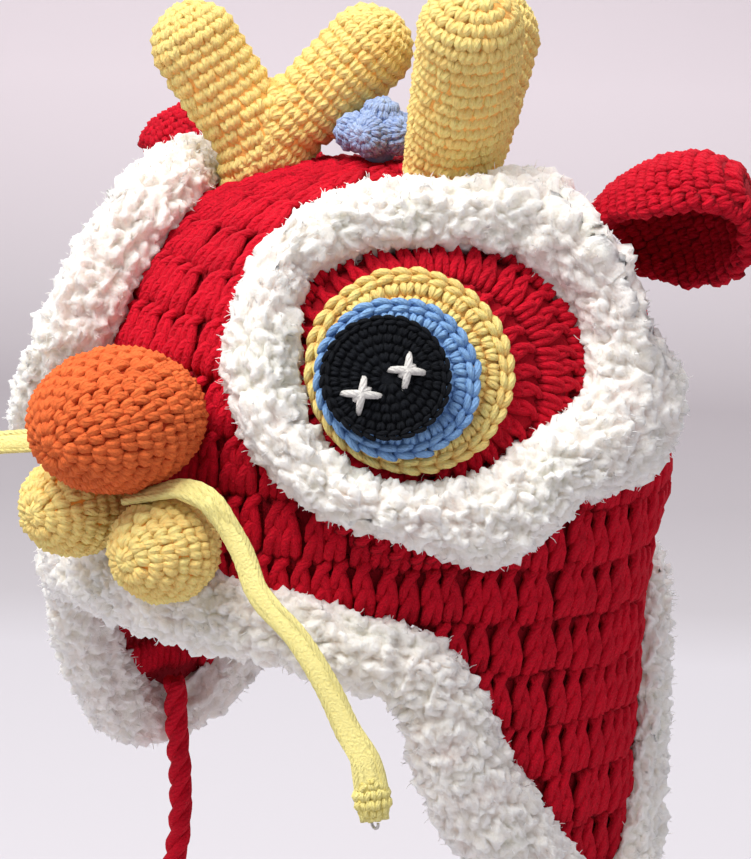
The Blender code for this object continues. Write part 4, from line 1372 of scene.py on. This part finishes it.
def hairs(name, spots, out):
    """Single fine hairs that bend over."""
    weave = Weave()
    count = len(spots)
    lean = unit(np.cross(out, rng.normal(0.0, 1.0, (count, 3))))
    size = (HAIR_LENGTH * rng.uniform(0.5, 1.2, count))[:, None]
    bow = rng.uniform(0.3, 1.4, count)[:, None]
    foot = spots - out * HAIR_ROOT
    tips = spots + unit(out + lean * bow) * size
    middle = foot * 0.5 + tips * 0.5 + out * size * 0.2
    paths = np.stack((foot, middle, tips), axis=1)
    radii = HAIR_RADIUS * rng.uniform(0.7, 1.2, (count, 1)) * np.array((1.0, 0.9, 0.5))
    tubes(weave, paths, radii, lean, 3, rng.uniform(0.9, 1.1, count))
    settle(weave.finish(name, HAIR))


def make_fur(name, node, hair_count, reach=None):
    """Fleece on a fur solid: tufts that lean, fuller by reach where it is given."""
    points, faces, normals = solid(node)
    points, faces = divide(points, faces, 3)
    normals = point_normals(points, faces, even=True)
    fuller = reach(points, normals) if reach else 0.0 * points[:, 0]
    clump, tuft = tufts(points, CLUMP_SIZE), tufts(points + 0.5, TUFT_SIZE)
    rise = fuller * 0.9 - CREASE_DEPTH + CLUMP_HEIGHT * clump + TUFT_HEIGHT * tuft
    sway = combed(points, COMB_SIZE) * (TUFT_LEAN * tuft)[:, None]
    body = points + normals * rise[:, None] + sway
    weave = Weave()
    # A lower tone value in the creases between clumps and tufts, as painted shade
    weave.add(body, [faces], 0.4 + 0.25 * clump + 0.35 * tuft, points / SOLID_FIBRE_SCALE)
    settle(weave.finish(name, FUR), node)
    spots, picked = scatter(body, faces, hair_count)
    out = unit(normals[faces[picked, 0]] + rng.normal(0.0, 0.30, (hair_count, 3)))
    hairs(name + "_hairs", spots, out)


def eye_reach(side):
    """Extra fleece on an eye's ring, by the angle about the eye."""
    eye = EyeFrame(side)
    turns, outwards, inwards = np.array(EYE_FLUFF[side]).T

    def reach(points, normals):
        off = points - eye.centre
        angle = np.degrees(np.arctan2(off @ eye.up, off @ eye.across))
        ray = unit(eye.across * (off @ eye.across)[:, None] + eye.up * (off @ eye.up)[:, None])
        facing = np.sum(ray * normals, axis=1)
        return (np.interp(angle, turns, outwards) * np.clip(facing + 0.3, 0.0, 1.0)
                + np.interp(angle, turns, inwards) * np.clip(-facing, 0.0, 1.0)) / 1000.0

    return reach


make_camera()
make_sweep()
make_lamps()
make_sky()
for side_name in SIDES:
    make_tie(side_name)
make_crown()
make_ball("nose", ORANGE, NOSE_STITCH, droop=NOSE_DROOP)
for side_name in SIDES:
    make_ball("lip_ball_" + side_name, YELLOW, LIP_STITCH)
    make_antler(side_name)
    make_ear(side_name)
    make_eye(side_name)
    make_whisker(side_name)
make_cloud()
make_fur("rim_fleece", "rim_fur", RIM_HAIRS)
for side_name in SIDES:
    make_fur("eye_fleece_" + side_name, "eye_fur_" + side_name, EYE_HAIRS,
             eye_reach(side_name))
